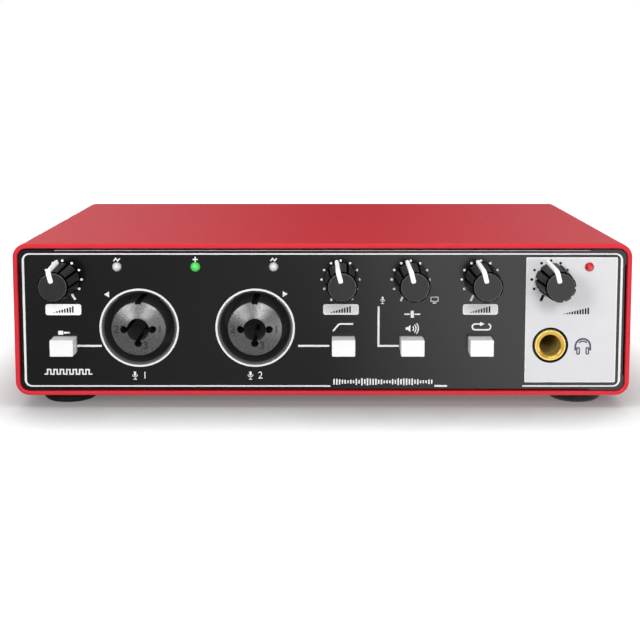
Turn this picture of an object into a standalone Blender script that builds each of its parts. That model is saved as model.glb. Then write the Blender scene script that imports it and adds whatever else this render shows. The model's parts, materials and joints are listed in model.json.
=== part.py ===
"""Desktop USB audio interface.

A red extruded sleeve is closed by a front panel and a rear panel. Each panel has a foot along the
floor of the sleeve, and the screws of the four rubber feet go through the floor into it. The main
board slides in grooves in the sleeve's sides. It carries the sockets and the push switches, and an
upright control board with the potentiometers and the indicator lamps.

Pieces at the front are drawn in a frame on the front panel's face: u to the right, v up from the
sleeve's underside, w out of the panel towards the person using it. Pieces at the back are drawn in
the same way in a frame on the rear panel's face. All sizes are in metres.
"""

import math

import bmesh
import bpy
from mathutils import Matrix
from mathutils import Vector

# Clearances
FIT = 0.0003
RUNNING_FIT = 0.00008
INLAY_FIT = 0.0001
WELD = 0.000001

# Front controls, from the left side of the case to the right side
LEFT_MARGIN = 0.01494
GAIN_TO_INPUT = 0.0229
INPUT_GAP = 0.01055
INPUT_TO_KNOB = 0.02612
KNOB_PITCH = 0.02119
RIGHT_MARGIN = 0.02407
BUTTON_SHIFT = 0.00018
BUTTON_PITCH = 0.02075
LAMP_PITCH = 0.02365
LAMP_SHIFT = -0.0004
POWER_LAMP_SHIFT = 0.0112

# Sleeve
CASE_DEPTH = 0.110
WALL = 0.0014
CORNER_RADIUS = 0.00425
KNOB_RISE = 0.01485
TOP_MARGIN = 0.01097
RAIL_THICKNESS = 0.0012
RAIL_REACH = 0.002
RAIL_END_GAP = 0.004

# Panels
PANEL_RECESS = 0.0004
PANEL_THICKNESS = 0.002
REAR_PANEL_THICKNESS = 0.0016
NOTCH_DEPTH = 0.0002
NOTCH_CHAMFER = 0.00045
NOTCH_FROM_SIDE = 0.0122
NOTCH_FROM_TOP = 0.0061
FLANGE_EDGE = 0.006

# Feet and their screws
FOOT_RADIUS = 0.0082
FOOT_HEIGHT = 0.0037
FOOT_CHAMFER = 0.0008
FOOT_FROM_SIDE = 0.014
FOOT_FROM_END = 0.0138
FOOT_WEB = 0.0012
SCREW_RADIUS = 0.0014
SCREW_HEAD_RADIUS = 0.0026
SCREW_HEAD_HEIGHT = 0.0013
SCREW_END = 0.0006
CROSS_WIDTH = 0.0006
CROSS_LENGTH = 0.0026
CROSS_DEPTH = 0.0006

# Boards
BOARD_THICKNESS = 0.0016
BOARD_LIFT = 0.0047
BOARD_END_GAP = 0.0006
CONTROL_BOARD_TOP_GAP = 0.0009
CONTROL_BOARD_DROP = 0.0065
CONTROL_BOARD_EDGE = 0.004
LEG_CLEARANCE = 0.0025
HEADER_DEPTH = 0.0025
HEADER_HEIGHT = 0.0085
CHIP_SIZE = 0.012
CHIP_HEIGHT = 0.0016
CHIP_PITCH = 0.026
CHIP_FROM_FRONT = 0.060

# Potentiometers, their shafts and knobs
POT_WIDTH = 0.0098
POT_HEIGHT = 0.0104
POT_DEPTH = 0.0068
POT_SETBACK = 0.0012
POT_BACK_WALL = 0.001
BUSHING_WALL = 0.0006
BUSHING_SINK = 0.0002
SHAFT_RADIUS = 0.003
SHAFT_FLAT = 0.0015
KNOB_STANDOFF = 0.0008
KNOB_LENGTH = 0.0127
KNOB_CAP = 0.002
KNOB_WALL = 0.0012
KNOB_TAPER = 0.0007
KNOB_BEVEL = 0.0005
GROOVE_COUNT = 10
GROOVE_WIDTH = 0.0006
GROOVE_DEPTH = 0.0005
POINTER_WIDTH = 0.0014
POINTER_START = 0.001
POINTER_PROUD = 0.0005
POINTER_FOOT_PROUD = 0.0009
POINTER_SINK = 0.0006
POINTER_ANGLE = math.radians(14.5)

# Push buttons and their switches
BUTTON_WIDTH = 0.007
BUTTON_HEIGHT = 0.005
BUTTON_PROUD = 0.0048
BUTTON_TAIL = 0.0025
BUTTON_ROUND = 0.0004
BUTTON_TRAVEL = 0.0025
BUTTON_STOP = 0.0006
STEM_WIDTH = 0.003
STEM_HOLD = 0.005
SWITCH_WIDTH = 0.0085
SWITCH_DEPTH = 0.010
SWITCH_PLINTH = 0.00326
PHANTOM_PROUD = 0.0036

# Indicator lamps
LAMP_RADIUS = 0.00145
LAMP_PROUD = 0.0012
LAMP_RISE = 0.00383
LAMP_FLANGE_RADIUS = 0.0019
LAMP_FLANGE_DEPTH = 0.001
LAMP_LEAD = 0.0005
LAMP_LEAD_PITCH = 0.00254

# Microphone and line input sockets
INPUT_CUP_RADIUS = 0.0105
INPUT_CUP_DEPTH = 0.018
INPUT_NOSE_WALL = 0.0006
INPUT_WALL = 0.0018
INPUT_PLINTH = 0.0005
INPUT_FLOOR = 0.004
INPUT_TAIL_WIDTH = 0.014
INPUT_TAIL_DEPTH = 0.012
INPUT_TAIL_WALL = 0.0015
LIP_GAP_WIDTH = 0.0130
LIP_GAP_DEPTH = 0.0018
INSERT_RADIUS = 0.0082
INSERT_PROUD = 0.0018
INSERT_SPIGOT_RADIUS = 0.005
INSERT_SPIGOT_LENGTH = 0.003
PIN_HOLE_RADIUS = 0.00112
PIN_HOLE_OFFSET = 0.0042
PIN_HOLE_DEPTH = 0.013
KEY_WIDTH = 0.0019
KEY_DEPTH = 0.0007

# Jack sockets: headphones at the front, line outputs at the back
JACK_BORE_RADIUS = 0.0032
JACK_BORE_DEPTH = 0.026
JACK_BACK_WALL = 0.0015
JACK_WIDTH = 0.014
JACK_PLINTH = 0.00045
PHONES_JACK_SHIFT = -0.00015
PHONES_BUSH_WALL = 0.00145
PHONES_BUSH_LENGTH = 0.0036
PHONES_BUSH_PROUD = 0.0003
PHONES_BUSH_SINK_DEPTH = 0.0006
PHONES_BUSH_LIP = 0.0003
LINE_NOSE_WALL = 0.0012
LINE_NOSE_PROUD = 0.003
NUT_ACROSS_FLATS = 0.011
NUT_THICKNESS = 0.002
LINE_FROM_SIDE = 0.024
LINE_PITCH = 0.020

# USB socket and the phantom power button at the back
USB_WIDTH = 0.009
USB_HEIGHT = 0.0032
USB_DEPTH = 0.0075
USB_CORNER = 0.0012
USB_SKIN = 0.0003
USB_POCKET_DEPTH = 0.006
USB_TONGUE_WIDTH = 0.0067
USB_TONGUE_THICKNESS = 0.0007
USB_TONGUE_LENGTH = 0.0045
USB_FROM_SIDE = 0.032
PHANTOM_FROM_SIDE = 0.078

# Roundness
CORNER_STEPS = 6
LARGE_SIDES = 32
MEDIUM_SIDES = 24
SMALL_SIDES = 16
KNOB_SIDES = 40
DOME_STEPS = 4
SHARP_ANGLE = math.radians(35)


def clear_radius(radius, gap, sides):
    """Corner radius of a round hole whose flats keep a gap round a rod of the given radius."""
    return (radius + gap) / math.cos(math.pi / sides)


# Heights above the sleeve's underside
BOARD_UNDERSIDE = WALL + BOARD_LIFT
BOARD_TOP = BOARD_UNDERSIDE + BOARD_THICKNESS
SEAT = BOARD_TOP + FIT
INPUT_RADIUS = INPUT_CUP_RADIUS + INPUT_WALL
INPUT_AXIS = SEAT + INPUT_PLINTH + INPUT_RADIUS
KNOB_AXIS = INPUT_AXIS + KNOB_RISE
LAMP_AXIS = KNOB_AXIS + LAMP_RISE
BUTTON_AXIS = SEAT + SWITCH_PLINTH + SWITCH_WIDTH / 2
JACK_AXIS = SEAT + JACK_PLINTH + JACK_WIDTH / 2
USB_AXIS = SEAT + USB_HEIGHT / 2
CASE_HEIGHT = KNOB_AXIS + TOP_MARGIN
CASE_MIDDLE = CASE_HEIGHT / 2

# Places across the front, from the middle of the case
INPUT_PITCH = 2 * INPUT_RADIUS + INPUT_GAP
CASE_WIDTH = LEFT_MARGIN + GAIN_TO_INPUT + INPUT_PITCH + INPUT_TO_KNOB + 3 * KNOB_PITCH + RIGHT_MARGIN
HALF_WIDTH = CASE_WIDTH / 2
GAIN_1_U = LEFT_MARGIN - HALF_WIDTH
INPUT_1_U = GAIN_1_U + GAIN_TO_INPUT
INPUT_2_U = INPUT_1_U + INPUT_PITCH
INPUTS_MIDDLE_U = (INPUT_1_U + INPUT_2_U) / 2
GAIN_2_U = INPUT_2_U + INPUT_TO_KNOB
MIX_U = GAIN_2_U + KNOB_PITCH
OUTPUT_U = MIX_U + KNOB_PITCH
PHONES_U = OUTPUT_U + KNOB_PITCH
LAMPS_MIDDLE_U = INPUTS_MIDDLE_U + LAMP_SHIFT
POWER_LAMP_U = PHONES_U + POWER_LAMP_SHIFT
PHONES_JACK_U = PHONES_U + PHONES_JACK_SHIFT

KNOB_PLACES = {
    "gain_1": GAIN_1_U,
    "gain_2": GAIN_2_U,
    "mix": MIX_U,
    "output": OUTPUT_U,
    "phones": PHONES_U,
}
BUTTON_PLACES = {
    "hi_z": GAIN_1_U + BUTTON_SHIFT,
    "low_cut": MIX_U + BUTTON_SHIFT - BUTTON_PITCH,
    "monitor": MIX_U + BUTTON_SHIFT,
    "loopback": MIX_U + BUTTON_SHIFT + BUTTON_PITCH,
}
LAMP_PLACES = {
    "peak_1_lamp": LAMPS_MIDDLE_U - LAMP_PITCH,
    "phantom_lamp": LAMPS_MIDDLE_U,
    "peak_2_lamp": LAMPS_MIDDLE_U + LAMP_PITCH,
    "power_lamp": POWER_LAMP_U,
}

# Places across the back, seen from behind
LINE_1_U = LINE_FROM_SIDE - HALF_WIDTH
LINE_2_U = LINE_1_U + LINE_PITCH
PHANTOM_U = HALF_WIDTH - PHANTOM_FROM_SIDE
USB_U = HALF_WIDTH - USB_FROM_SIDE

# Depths, out of the panel's face
PANEL_BACK = -PANEL_THICKNESS
REAR_PANEL_BACK = -REAR_PANEL_THICKNESS
POT_FRONT = PANEL_BACK - POT_SETBACK
POT_BACK = POT_FRONT - POT_DEPTH
CONTROL_BOARD_FRONT = POT_BACK - FIT
CONTROL_BOARD_BACK = CONTROL_BOARD_FRONT - BOARD_THICKNESS
CASE_FRONT = PANEL_RECESS
CASE_BACK = PANEL_RECESS - CASE_DEPTH
REAR_FACE = CASE_BACK + PANEL_RECESS
REAR_PANEL_INSIDE = REAR_FACE + REAR_PANEL_THICKNESS
HOLE_TOOL_REACH = 2 * PANEL_THICKNESS

# Round fits
SHAFT_HOLE_RADIUS = clear_radius(SHAFT_RADIUS, RUNNING_FIT, MEDIUM_SIDES)
BUSHING_RADIUS = SHAFT_HOLE_RADIUS + BUSHING_WALL
KNOB_HOLE_RADIUS = clear_radius(SHAFT_RADIUS, FIT, MEDIUM_SIDES)
KNOB_RADIUS = KNOB_HOLE_RADIUS + KNOB_WALL
KNOB_BASE_RADIUS = KNOB_RADIUS + KNOB_TAPER
KNOB_FRONT = KNOB_STANDOFF + KNOB_LENGTH
INPUT_NOSE_RADIUS = INPUT_CUP_RADIUS + INPUT_NOSE_WALL
PHONES_BUSH_RADIUS = JACK_BORE_RADIUS + PHONES_BUSH_WALL
PHONES_RECESS_RADIUS = clear_radius(PHONES_BUSH_RADIUS, FIT, MEDIUM_SIDES)
LINE_NOSE_RADIUS = JACK_BORE_RADIUS + LINE_NOSE_WALL
SCREW_HOLE_RADIUS = clear_radius(SCREW_RADIUS, FIT, SMALL_SIDES)
SCREW_POCKET_RADIUS = clear_radius(SCREW_HEAD_RADIUS, FIT, MEDIUM_SIDES)

# The frames: the origin is on the floor, below the middle of the whole object
KNOB_REACH = KNOB_FRONT + POINTER_PROUD
REAR_REACH = max(LINE_NOSE_PROUD, PHANTOM_PROUD)
CASE_BASE = FOOT_HEIGHT + FIT
FRONT_FACE_Y = (KNOB_REACH - REAR_REACH + REAR_FACE) / 2
REAR_FACE_Y = FRONT_FACE_Y - REAR_FACE
FOOT_X = HALF_WIDTH - FOOT_FROM_SIDE
FRONT_FOOT_W = CASE_FRONT - FOOT_FROM_END
REAR_FOOT_W = CASE_BACK + FOOT_FROM_END


# Modelling tools

def empty_file():
    """Remove whatever the file holds."""
    for item in list(bpy.data.objects):
        bpy.data.objects.remove(item)


def collection(name):
    """A new collection in the scene."""
    made = bpy.data.collections.new(name)
    bpy.context.scene.collection.children.link(made)
    return made


def finish(name, colour, roughness, metallic=0.0):
    """A Principled material."""
    made = bpy.data.materials.new(name)
    made.use_nodes = True
    shader = made.node_tree.nodes["Principled BSDF"]
    shader.inputs["Base Color"].default_value = (*colour, 1.0)
    shader.inputs["Roughness"].default_value = roughness
    shader.inputs["Metallic"].default_value = metallic
    made.diffuse_color = (*colour, 1.0)
    return made


def frame(name, location, rotation=(0, 0, 0), parent=None):
    """An empty that pieces are placed in."""
    made = bpy.data.objects.new(name, None)
    PARTS.objects.link(made)
    made.parent = parent
    made.location = location
    made.rotation_euler = rotation
    return made


def workpiece(data):
    """A shape being worked on."""
    made = bpy.data.objects.new("workpiece", data)
    WORKSHOP.objects.link(made)
    return made


def from_bmesh(shape):
    """A workpiece from a finished bmesh."""
    mesh = bpy.data.meshes.new("shape")
    shape.to_mesh(mesh)
    shape.free()
    return workpiece(mesh)


def settle(shape):
    """The mesh of a workpiece with its modifiers applied. The workpiece and its tools go."""
    bpy.context.view_layer.update()
    graph = bpy.context.evaluated_depsgraph_get()
    mesh = bpy.data.meshes.new_from_object(shape.evaluated_get(graph))
    tools = [step.object for step in shape.modifiers if step.type == 'BOOLEAN']
    for used in tools + [shape]:
        bpy.data.objects.remove(used)
    return mesh


def block(low, high):
    """A box between two corners."""
    low = Vector(low)
    high = Vector(high)
    shape = bmesh.new()
    bmesh.ops.create_cube(shape, size=1.0)
    bmesh.ops.scale(shape, vec=high - low, verts=shape.verts)
    bmesh.ops.translate(shape, vec=(low + high) / 2, verts=shape.verts)
    return from_bmesh(shape)


def rod(radius, back, front, sides, centre=(0, 0)):
    """A round bar along w."""
    shape = bmesh.new()
    bmesh.ops.create_cone(shape, cap_ends=True, segments=sides, radius1=radius, radius2=radius,
                          depth=front - back)
    bmesh.ops.translate(shape, vec=(*centre, (back + front) / 2), verts=shape.verts)
    return from_bmesh(shape)


def upright_rod(radius, bottom, top, sides, centre):
    """A round bar along v, at a place (u, w)."""
    shape = bmesh.new()
    bmesh.ops.create_cone(shape, cap_ends=True, segments=sides, radius1=radius, radius2=radius,
                          depth=top - bottom)
    bmesh.ops.rotate(shape, matrix=Matrix.Rotation(math.radians(-90), 3, 'X'), verts=shape.verts)
    bmesh.ops.translate(shape, vec=(centre[0], (bottom + top) / 2, centre[1]), verts=shape.verts)
    return from_bmesh(shape)


def turned(profile, sides, tube=False):
    """A profile of (radius, height) points spun about the third axis, down its outer side."""
    mesh = bpy.data.meshes.new("profile")
    edges = [(place, place + 1) for place in range(len(profile) - 1)]
    if tube:
        edges.append((len(profile) - 1, 0))
    mesh.from_pydata([(radius, 0, height) for radius, height in profile], edges, [])
    shape = workpiece(mesh)
    spin = shape.modifiers.new("Turn", 'SCREW')
    spin.steps = sides
    spin.render_steps = sides
    spin.use_merge_vertices = True
    spin.merge_threshold = WELD
    return workpiece(settle(shape))


def extruded(loops, back, front):
    """A flat outline, with holes, drawn in (u, v) and given a thickness along w."""
    curve = bpy.data.curves.new("outline", 'CURVE')
    curve.dimensions = '2D'
    curve.fill_mode = 'BOTH'
    curve.extrude = (front - back) / 2
    for loop in loops:
        spline = curve.splines.new('POLY')
        spline.points.add(len(loop) - 1)
        for point, (u, v) in zip(spline.points, loop):
            point.co = (u, v, 0, 1)
        spline.use_cyclic_u = True
    shape = bmesh.new()
    shape.from_mesh(settle(workpiece(curve)))
    bmesh.ops.remove_doubles(shape, verts=shape.verts, dist=WELD)
    bmesh.ops.recalc_face_normals(shape, faces=shape.faces)
    bmesh.ops.translate(shape, vec=(0, 0, (back + front) / 2), verts=shape.verts)
    return from_bmesh(shape)


def combine(shape, tools, operation):
    """Add a Boolean step for each tool."""
    for tool in tools:
        tool.hide_render = True
        tool.display_type = 'WIRE'
        step = shape.modifiers.new("Boolean", 'BOOLEAN')
        step.operation = operation
        step.object = tool


def cut(shape, *tools):
    """Take the tools away from a workpiece."""
    combine(shape, tools, 'DIFFERENCE')


def join(shape, *pieces):
    """Make the pieces one solid with a workpiece."""
    combine(shape, pieces, 'UNION')


def part(name, mesh, material, parent, place=(0, 0, 0)):
    """A finished piece, shaded smooth where it is round."""
    mesh.materials.clear()
    mesh.materials.append(material)
    mesh.shade_smooth()
    mesh.set_sharp_from_angle(angle=SHARP_ANGLE)
    made = bpy.data.objects.new(name, mesh)
    PARTS.objects.link(made)
    made.parent = parent
    made.location = place
    return made


# Outlines in (u, v)

def arc(centre, radius, start, end, steps):
    """Points along part of a circle, with angles in degrees."""
    angles = [math.radians(start + (end - start) * step / steps) for step in range(steps + 1)]
    return [(centre[0] + radius * math.cos(angle), centre[1] + radius * math.sin(angle))
            for angle in angles]


def circle(centre, radius, sides):
    """A closed round outline."""
    return arc(centre, radius, 0, 360, sides)[:-1]


def four_way(quarter, centre=(0, 0)):
    """A closed outline from its first quarter, which runs from the right-hand side to the top."""
    back = quarter[::-1]
    points = quarter + [(-u, v) for u, v in back] + [(-u, -v) for u, v in quarter]
    points += [(u, -v) for u, v in back]
    return [(centre[0] + u, centre[1] + v) for u, v in points]


def rounded_quarter(half_width, half_height, radius):
    """The first quarter of a rectangle with round corners."""
    return arc((half_width - radius, half_height - radius), radius, 0, 90, CORNER_STEPS)


def rounded(centre, half_width, half_height, radius):
    """A rectangle with round corners."""
    return four_way(rounded_quarter(half_width, half_height, radius), centre)


def mouth(inset):
    """Half width, half height and corner radius of the sleeve's outline, drawn in by an inset."""
    return HALF_WIDTH - inset, CASE_HEIGHT / 2 - inset, CORNER_RADIUS - inset


# Case

def make_sleeve():
    """The one-piece sleeve, with the main board's grooves and the holes for the foot screws."""
    centre = (0, CASE_MIDDLE)
    shape = extruded([rounded(centre, *mouth(0)), rounded(centre, *mouth(WALL))], CASE_BACK, CASE_FRONT)
    low_rail = BOARD_UNDERSIDE - FIT - RAIL_THICKNESS
    high_rail = BOARD_TOP + FIT
    for side in (-1, 1):
        for bottom in (low_rail, high_rail):
            across = sorted((side * (HALF_WIDTH - WALL / 2), side * (HALF_WIDTH - WALL - RAIL_REACH)))
            join(shape, block((across[0], bottom, CASE_BACK + RAIL_END_GAP),
                              (across[1], bottom + RAIL_THICKNESS, CASE_FRONT - RAIL_END_GAP)))
    for u in (-FOOT_X, FOOT_X):
        for w in (FRONT_FOOT_W, REAR_FOOT_W):
            cut(shape, upright_rod(SCREW_HOLE_RADIUS, -WALL, 2 * WALL, SMALL_SIDES, (u, w)))
    part("sleeve", settle(shape), RED_PAINT, FRONT)


def add_flange(shape, plate_thickness, foot_depth):
    """Bend a foot back from a panel along the sleeve's floor, with holes for two foot screws."""
    underside = WALL + 2 * FIT
    top = underside + plate_thickness
    reach = FOOT_X + FLANGE_EDGE
    join(shape, block((-reach, underside, -foot_depth - FLANGE_EDGE),
                      (reach, top, -plate_thickness / 2)))
    for u in (-FOOT_X, FOOT_X):
        cut(shape, upright_rod(SCREW_HOLE_RADIUS, WALL, top + WALL, SMALL_SIDES, (u, -foot_depth)))


def front_outline():
    """The front panel's outline: full at the corners and drawn in along each side."""
    half_width, half_height, radius = mouth(WALL + FIT)
    across = HALF_WIDTH - NOTCH_FROM_SIDE
    up = CASE_HEIGHT / 2 - NOTCH_FROM_TOP
    quarter = [(half_width - NOTCH_DEPTH, up - NOTCH_DEPTH), (half_width, up)]
    quarter += rounded_quarter(half_width, half_height, radius)
    quarter += [(across, half_height), (across - NOTCH_DEPTH, half_height - NOTCH_DEPTH)]
    return four_way(quarter, (0, CASE_MIDDLE))


def edge_chamfers():
    """Tools that chamfer the front edge along the drawn-in middle of each side of the front panel."""
    half_width, half_height, _ = mouth(WALL + FIT + NOTCH_DEPTH)
    across = HALF_WIDTH - NOTCH_FROM_SIDE - NOTCH_DEPTH - NOTCH_CHAMFER
    up = CASE_HEIGHT / 2 - NOTCH_FROM_TOP - NOTCH_DEPTH - NOTCH_CHAMFER
    reach = PANEL_THICKNESS
    tools = []
    for turn, edge, half in ((0, half_height, across), (90, half_width, up),
                             (180, half_height, across), (270, half_width, up)):
        shape = bmesh.new()
        for out, length in ((-NOTCH_CHAMFER, half), (reach, half + NOTCH_CHAMFER + reach)):
            for along in (-reach, reach):
                for side in (-1, 1):
                    shape.verts.new((side * length, edge + (out + along) / 2, (out - along) / 2))
        bmesh.ops.convex_hull(shape, input=shape.verts)
        bmesh.ops.rotate(shape, matrix=Matrix.Rotation(math.radians(turn), 3, 'Z'), verts=shape.verts)
        bmesh.ops.translate(shape, vec=(0, CASE_MIDDLE, 0), verts=shape.verts)
        tools.append(from_bmesh(shape))
    return tools


def through(radius, place, sides):
    """A tool that makes a round hole in a panel."""
    return rod(radius, -HOLE_TOOL_REACH, HOLE_TOOL_REACH, sides, place)


def button_window(u):
    """A tool that makes a button's window in a panel."""
    across = BUTTON_WIDTH / 2 + FIT
    up = BUTTON_HEIGHT / 2 + FIT
    return block((u - across, BUTTON_AXIS - up, -HOLE_TOOL_REACH),
                 (u + across, BUTTON_AXIS + up, HOLE_TOOL_REACH))


def make_front_panel():
    """The front panel, with a hole for each control, lamp and socket."""
    shape = extruded([front_outline()], PANEL_BACK, 0)
    add_flange(shape, PANEL_THICKNESS, -FRONT_FOOT_W)
    bushing_hole = clear_radius(BUSHING_RADIUS, FIT, MEDIUM_SIDES)
    lamp_hole = clear_radius(LAMP_RADIUS, FIT, SMALL_SIDES)
    input_hole = clear_radius(INPUT_NOSE_RADIUS, FIT, LARGE_SIDES)
    for u in KNOB_PLACES.values():
        cut(shape, through(bushing_hole, (u, KNOB_AXIS), MEDIUM_SIDES))
    for u in LAMP_PLACES.values():
        cut(shape, through(lamp_hole, (u, LAMP_AXIS), SMALL_SIDES))
    for u in (INPUT_1_U, INPUT_2_U):
        cut(shape, through(input_hole, (u, INPUT_AXIS), LARGE_SIDES))
    for u in BUTTON_PLACES.values():
        cut(shape, button_window(u))
    cut(shape, through(PHONES_RECESS_RADIUS, (PHONES_JACK_U, JACK_AXIS), MEDIUM_SIDES), *edge_chamfers())
    part("front_panel", settle(shape), BLACK_PAINT, FRONT)


def make_rear_panel():
    """The rear panel, with holes for the line outputs, the USB socket and the phantom button."""
    shape = extruded([rounded((0, CASE_MIDDLE), *mouth(WALL + FIT))], REAR_PANEL_BACK, 0)
    add_flange(shape, REAR_PANEL_THICKNESS, REAR_FOOT_W - REAR_FACE)
    line_hole = clear_radius(LINE_NOSE_RADIUS, FIT, MEDIUM_SIDES)
    for u in (LINE_1_U, LINE_2_U):
        cut(shape, through(line_hole, (u, JACK_AXIS), MEDIUM_SIDES))
    usb_hole = rounded((USB_U, USB_AXIS), USB_WIDTH / 2 + FIT, USB_HEIGHT / 2 + FIT, USB_CORNER + FIT)
    cut(shape, button_window(PHANTOM_U), extruded([usb_hole], -HOLE_TOOL_REACH, HOLE_TOOL_REACH))
    part("rear_panel", settle(shape), BLACK_PAINT, REAR)


def make_feet():
    """Four rubber feet, each with a pocket for its screw's head."""
    pocket_top = FOOT_HEIGHT - FOOT_WEB
    profile = [
        (FOOT_RADIUS, FOOT_HEIGHT),
        (FOOT_RADIUS, FOOT_CHAMFER),
        (FOOT_RADIUS - FOOT_CHAMFER, 0),
        (SCREW_POCKET_RADIUS, 0),
        (SCREW_POCKET_RADIUS, pocket_top),
        (SCREW_HOLE_RADIUS, pocket_top),
        (SCREW_HOLE_RADIUS, FOOT_HEIGHT),
    ]
    foot = settle(turned(profile, MEDIUM_SIDES, tube=True))
    head_top = pocket_top - FIT
    head_bottom = head_top - SCREW_HEAD_HEIGHT
    screw_top = CASE_BASE + WALL + 2 * FIT + PANEL_THICKNESS + SCREW_END
    shape = turned([(0, screw_top), (SCREW_RADIUS, screw_top), (SCREW_RADIUS, head_top),
                    (SCREW_HEAD_RADIUS, head_top), (SCREW_HEAD_RADIUS, head_bottom), (0, head_bottom)],
                   SMALL_SIDES)
    for length, width in ((CROSS_LENGTH, CROSS_WIDTH), (CROSS_WIDTH, CROSS_LENGTH)):
        cut(shape, block((-length / 2, -width / 2, head_bottom - CROSS_DEPTH),
                         (length / 2, width / 2, head_bottom + CROSS_DEPTH)))
    screw = settle(shape)
    ends = {"front": FRONT_FACE_Y - FRONT_FOOT_W, "rear": FRONT_FACE_Y - REAR_FOOT_W}
    for end, y in ends.items():
        for side, x in (("left", -FOOT_X), ("right", FOOT_X)):
            part(f"foot_{end}_{side}", foot, RUBBER, None, (x, y, 0))
            part(f"foot_screw_{end}_{side}", screw, STEEL, None, (x, y, 0))


# Boards

def make_main_board():
    """The main board with its processor and converter chips soldered on."""
    edge = HALF_WIDTH - WALL - FIT
    shape = block((-edge, BOARD_UNDERSIDE, REAR_PANEL_INSIDE + BOARD_END_GAP),
                  (edge, BOARD_TOP, PANEL_BACK - BOARD_END_GAP))
    half_chip = CHIP_SIZE / 2
    chip_root = BOARD_TOP - BOARD_THICKNESS / 2
    for u in (-CHIP_PITCH, 0, CHIP_PITCH):
        join(shape, block((u - half_chip, chip_root, -CHIP_FROM_FRONT - CHIP_SIZE),
                          (u + half_chip, BOARD_TOP + CHIP_HEIGHT, -CHIP_FROM_FRONT)))
    part("main_board", settle(shape), BOARD_GREEN, FRONT)


def make_control_board():
    """The upright board behind the knobs, on two legs, and the header that joins it to the main one."""
    top = CASE_HEIGHT - WALL - CONTROL_BOARD_TOP_GAP
    low = KNOB_AXIS - CONTROL_BOARD_DROP
    high = INPUT_AXIS + INPUT_RADIUS + 2 * FIT
    left = GAIN_1_U - CONTROL_BOARD_DROP
    right = POWER_LAMP_U + CONTROL_BOARD_EDGE
    inputs_left = INPUT_1_U - INPUT_RADIUS - 2 * FIT
    inputs_right = INPUT_2_U + INPUT_RADIUS + 2 * FIT
    input_leg = INPUT_GAP / 2 - LEG_CLEARANCE
    switch_leg = (BUTTON_PITCH - SWITCH_WIDTH) / 2 - LEG_CLEARANCE
    switch_leg_u = (BUTTON_PLACES["monitor"] + BUTTON_PLACES["loopback"]) / 2
    outline = [
        (left, top),
        (left, low),
        (inputs_left, low),
        (inputs_left, high),
        (INPUTS_MIDDLE_U - input_leg, high),
        (INPUTS_MIDDLE_U - input_leg, SEAT),
        (INPUTS_MIDDLE_U + input_leg, SEAT),
        (INPUTS_MIDDLE_U + input_leg, high),
        (inputs_right, high),
        (inputs_right, low),
        (switch_leg_u - switch_leg, low),
        (switch_leg_u - switch_leg, SEAT),
        (switch_leg_u + switch_leg, SEAT),
        (switch_leg_u + switch_leg, low),
        (right, low),
        (right, top),
    ]
    shape = extruded([outline], CONTROL_BOARD_BACK, CONTROL_BOARD_FRONT)
    part("control_board", settle(shape), BOARD_GREEN, FRONT)
    header_front = CONTROL_BOARD_BACK - FIT
    header = block((switch_leg_u - switch_leg, SEAT, header_front - HEADER_DEPTH),
                   (switch_leg_u + switch_leg, SEAT + HEADER_HEIGHT, header_front))
    part("board_header", settle(header), BLACK_PLASTIC, FRONT)


# Knobs

def pot_mesh():
    """A potentiometer's body with its bushing."""
    shape = block((-POT_WIDTH / 2, -POT_HEIGHT / 2, POT_BACK),
                  (POT_WIDTH / 2, POT_HEIGHT / 2, POT_FRONT))
    join(shape, rod(BUSHING_RADIUS, POT_FRONT - POT_BACK_WALL, -BUSHING_SINK, MEDIUM_SIDES))
    cut(shape, rod(SHAFT_HOLE_RADIUS, POT_BACK + POT_BACK_WALL, PANEL_THICKNESS, MEDIUM_SIDES))
    return settle(shape)


def shaft_mesh():
    """A potentiometer's shaft, flattened along the length that the knob grips."""
    end = KNOB_FRONT - KNOB_CAP - FIT
    shape = rod(SHAFT_RADIUS, POT_BACK + POT_BACK_WALL + FIT, end, MEDIUM_SIDES)
    cut(shape, block((-2 * SHAFT_RADIUS, -2 * SHAFT_RADIUS, KNOB_STANDOFF),
                     (2 * SHAFT_RADIUS, -SHAFT_FLAT, end + SHAFT_RADIUS)))
    return settle(shape)


def knob_bore():
    """A round hole with one flat side, a fit larger than the shaft."""
    flat = SHAFT_FLAT + FIT
    swing = math.degrees(math.acos(flat / KNOB_HOLE_RADIUS))
    outline = arc((0, 0), KNOB_HOLE_RADIUS, swing - 90, 270 - swing, MEDIUM_SIDES)
    return extruded([outline], 0, KNOB_FRONT - KNOB_CAP)


def knob_grooves():
    """Grooves down the side of the knob, at every place but the pointer's."""
    shape = bmesh.new()
    floor = KNOB_RADIUS - GROOVE_DEPTH
    reach = KNOB_BASE_RADIUS + GROOVE_DEPTH
    size = Matrix.Diagonal((GROOVE_WIDTH, reach - floor, 2 * KNOB_FRONT, 1))
    middle = Matrix.Translation((0, (floor + reach) / 2, KNOB_FRONT / 2))
    for place in range(1, GROOVE_COUNT):
        turn = Matrix.Rotation(math.tau * place / GROOVE_COUNT, 4, 'Z')
        bmesh.ops.create_cube(shape, size=1.0, matrix=turn @ middle @ size)
    return from_bmesh(shape)


def side_view(outline, width):
    """An outline of (radius, w) points above the axis, given a width along u."""
    shape = extruded([outline], -width / 2, width / 2)
    shape.data.transform(Matrix(((0, 0, 1, 0), (1, 0, 0, 0), (0, 1, 0, 0), (0, 0, 0, 1))))
    return shape


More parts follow.
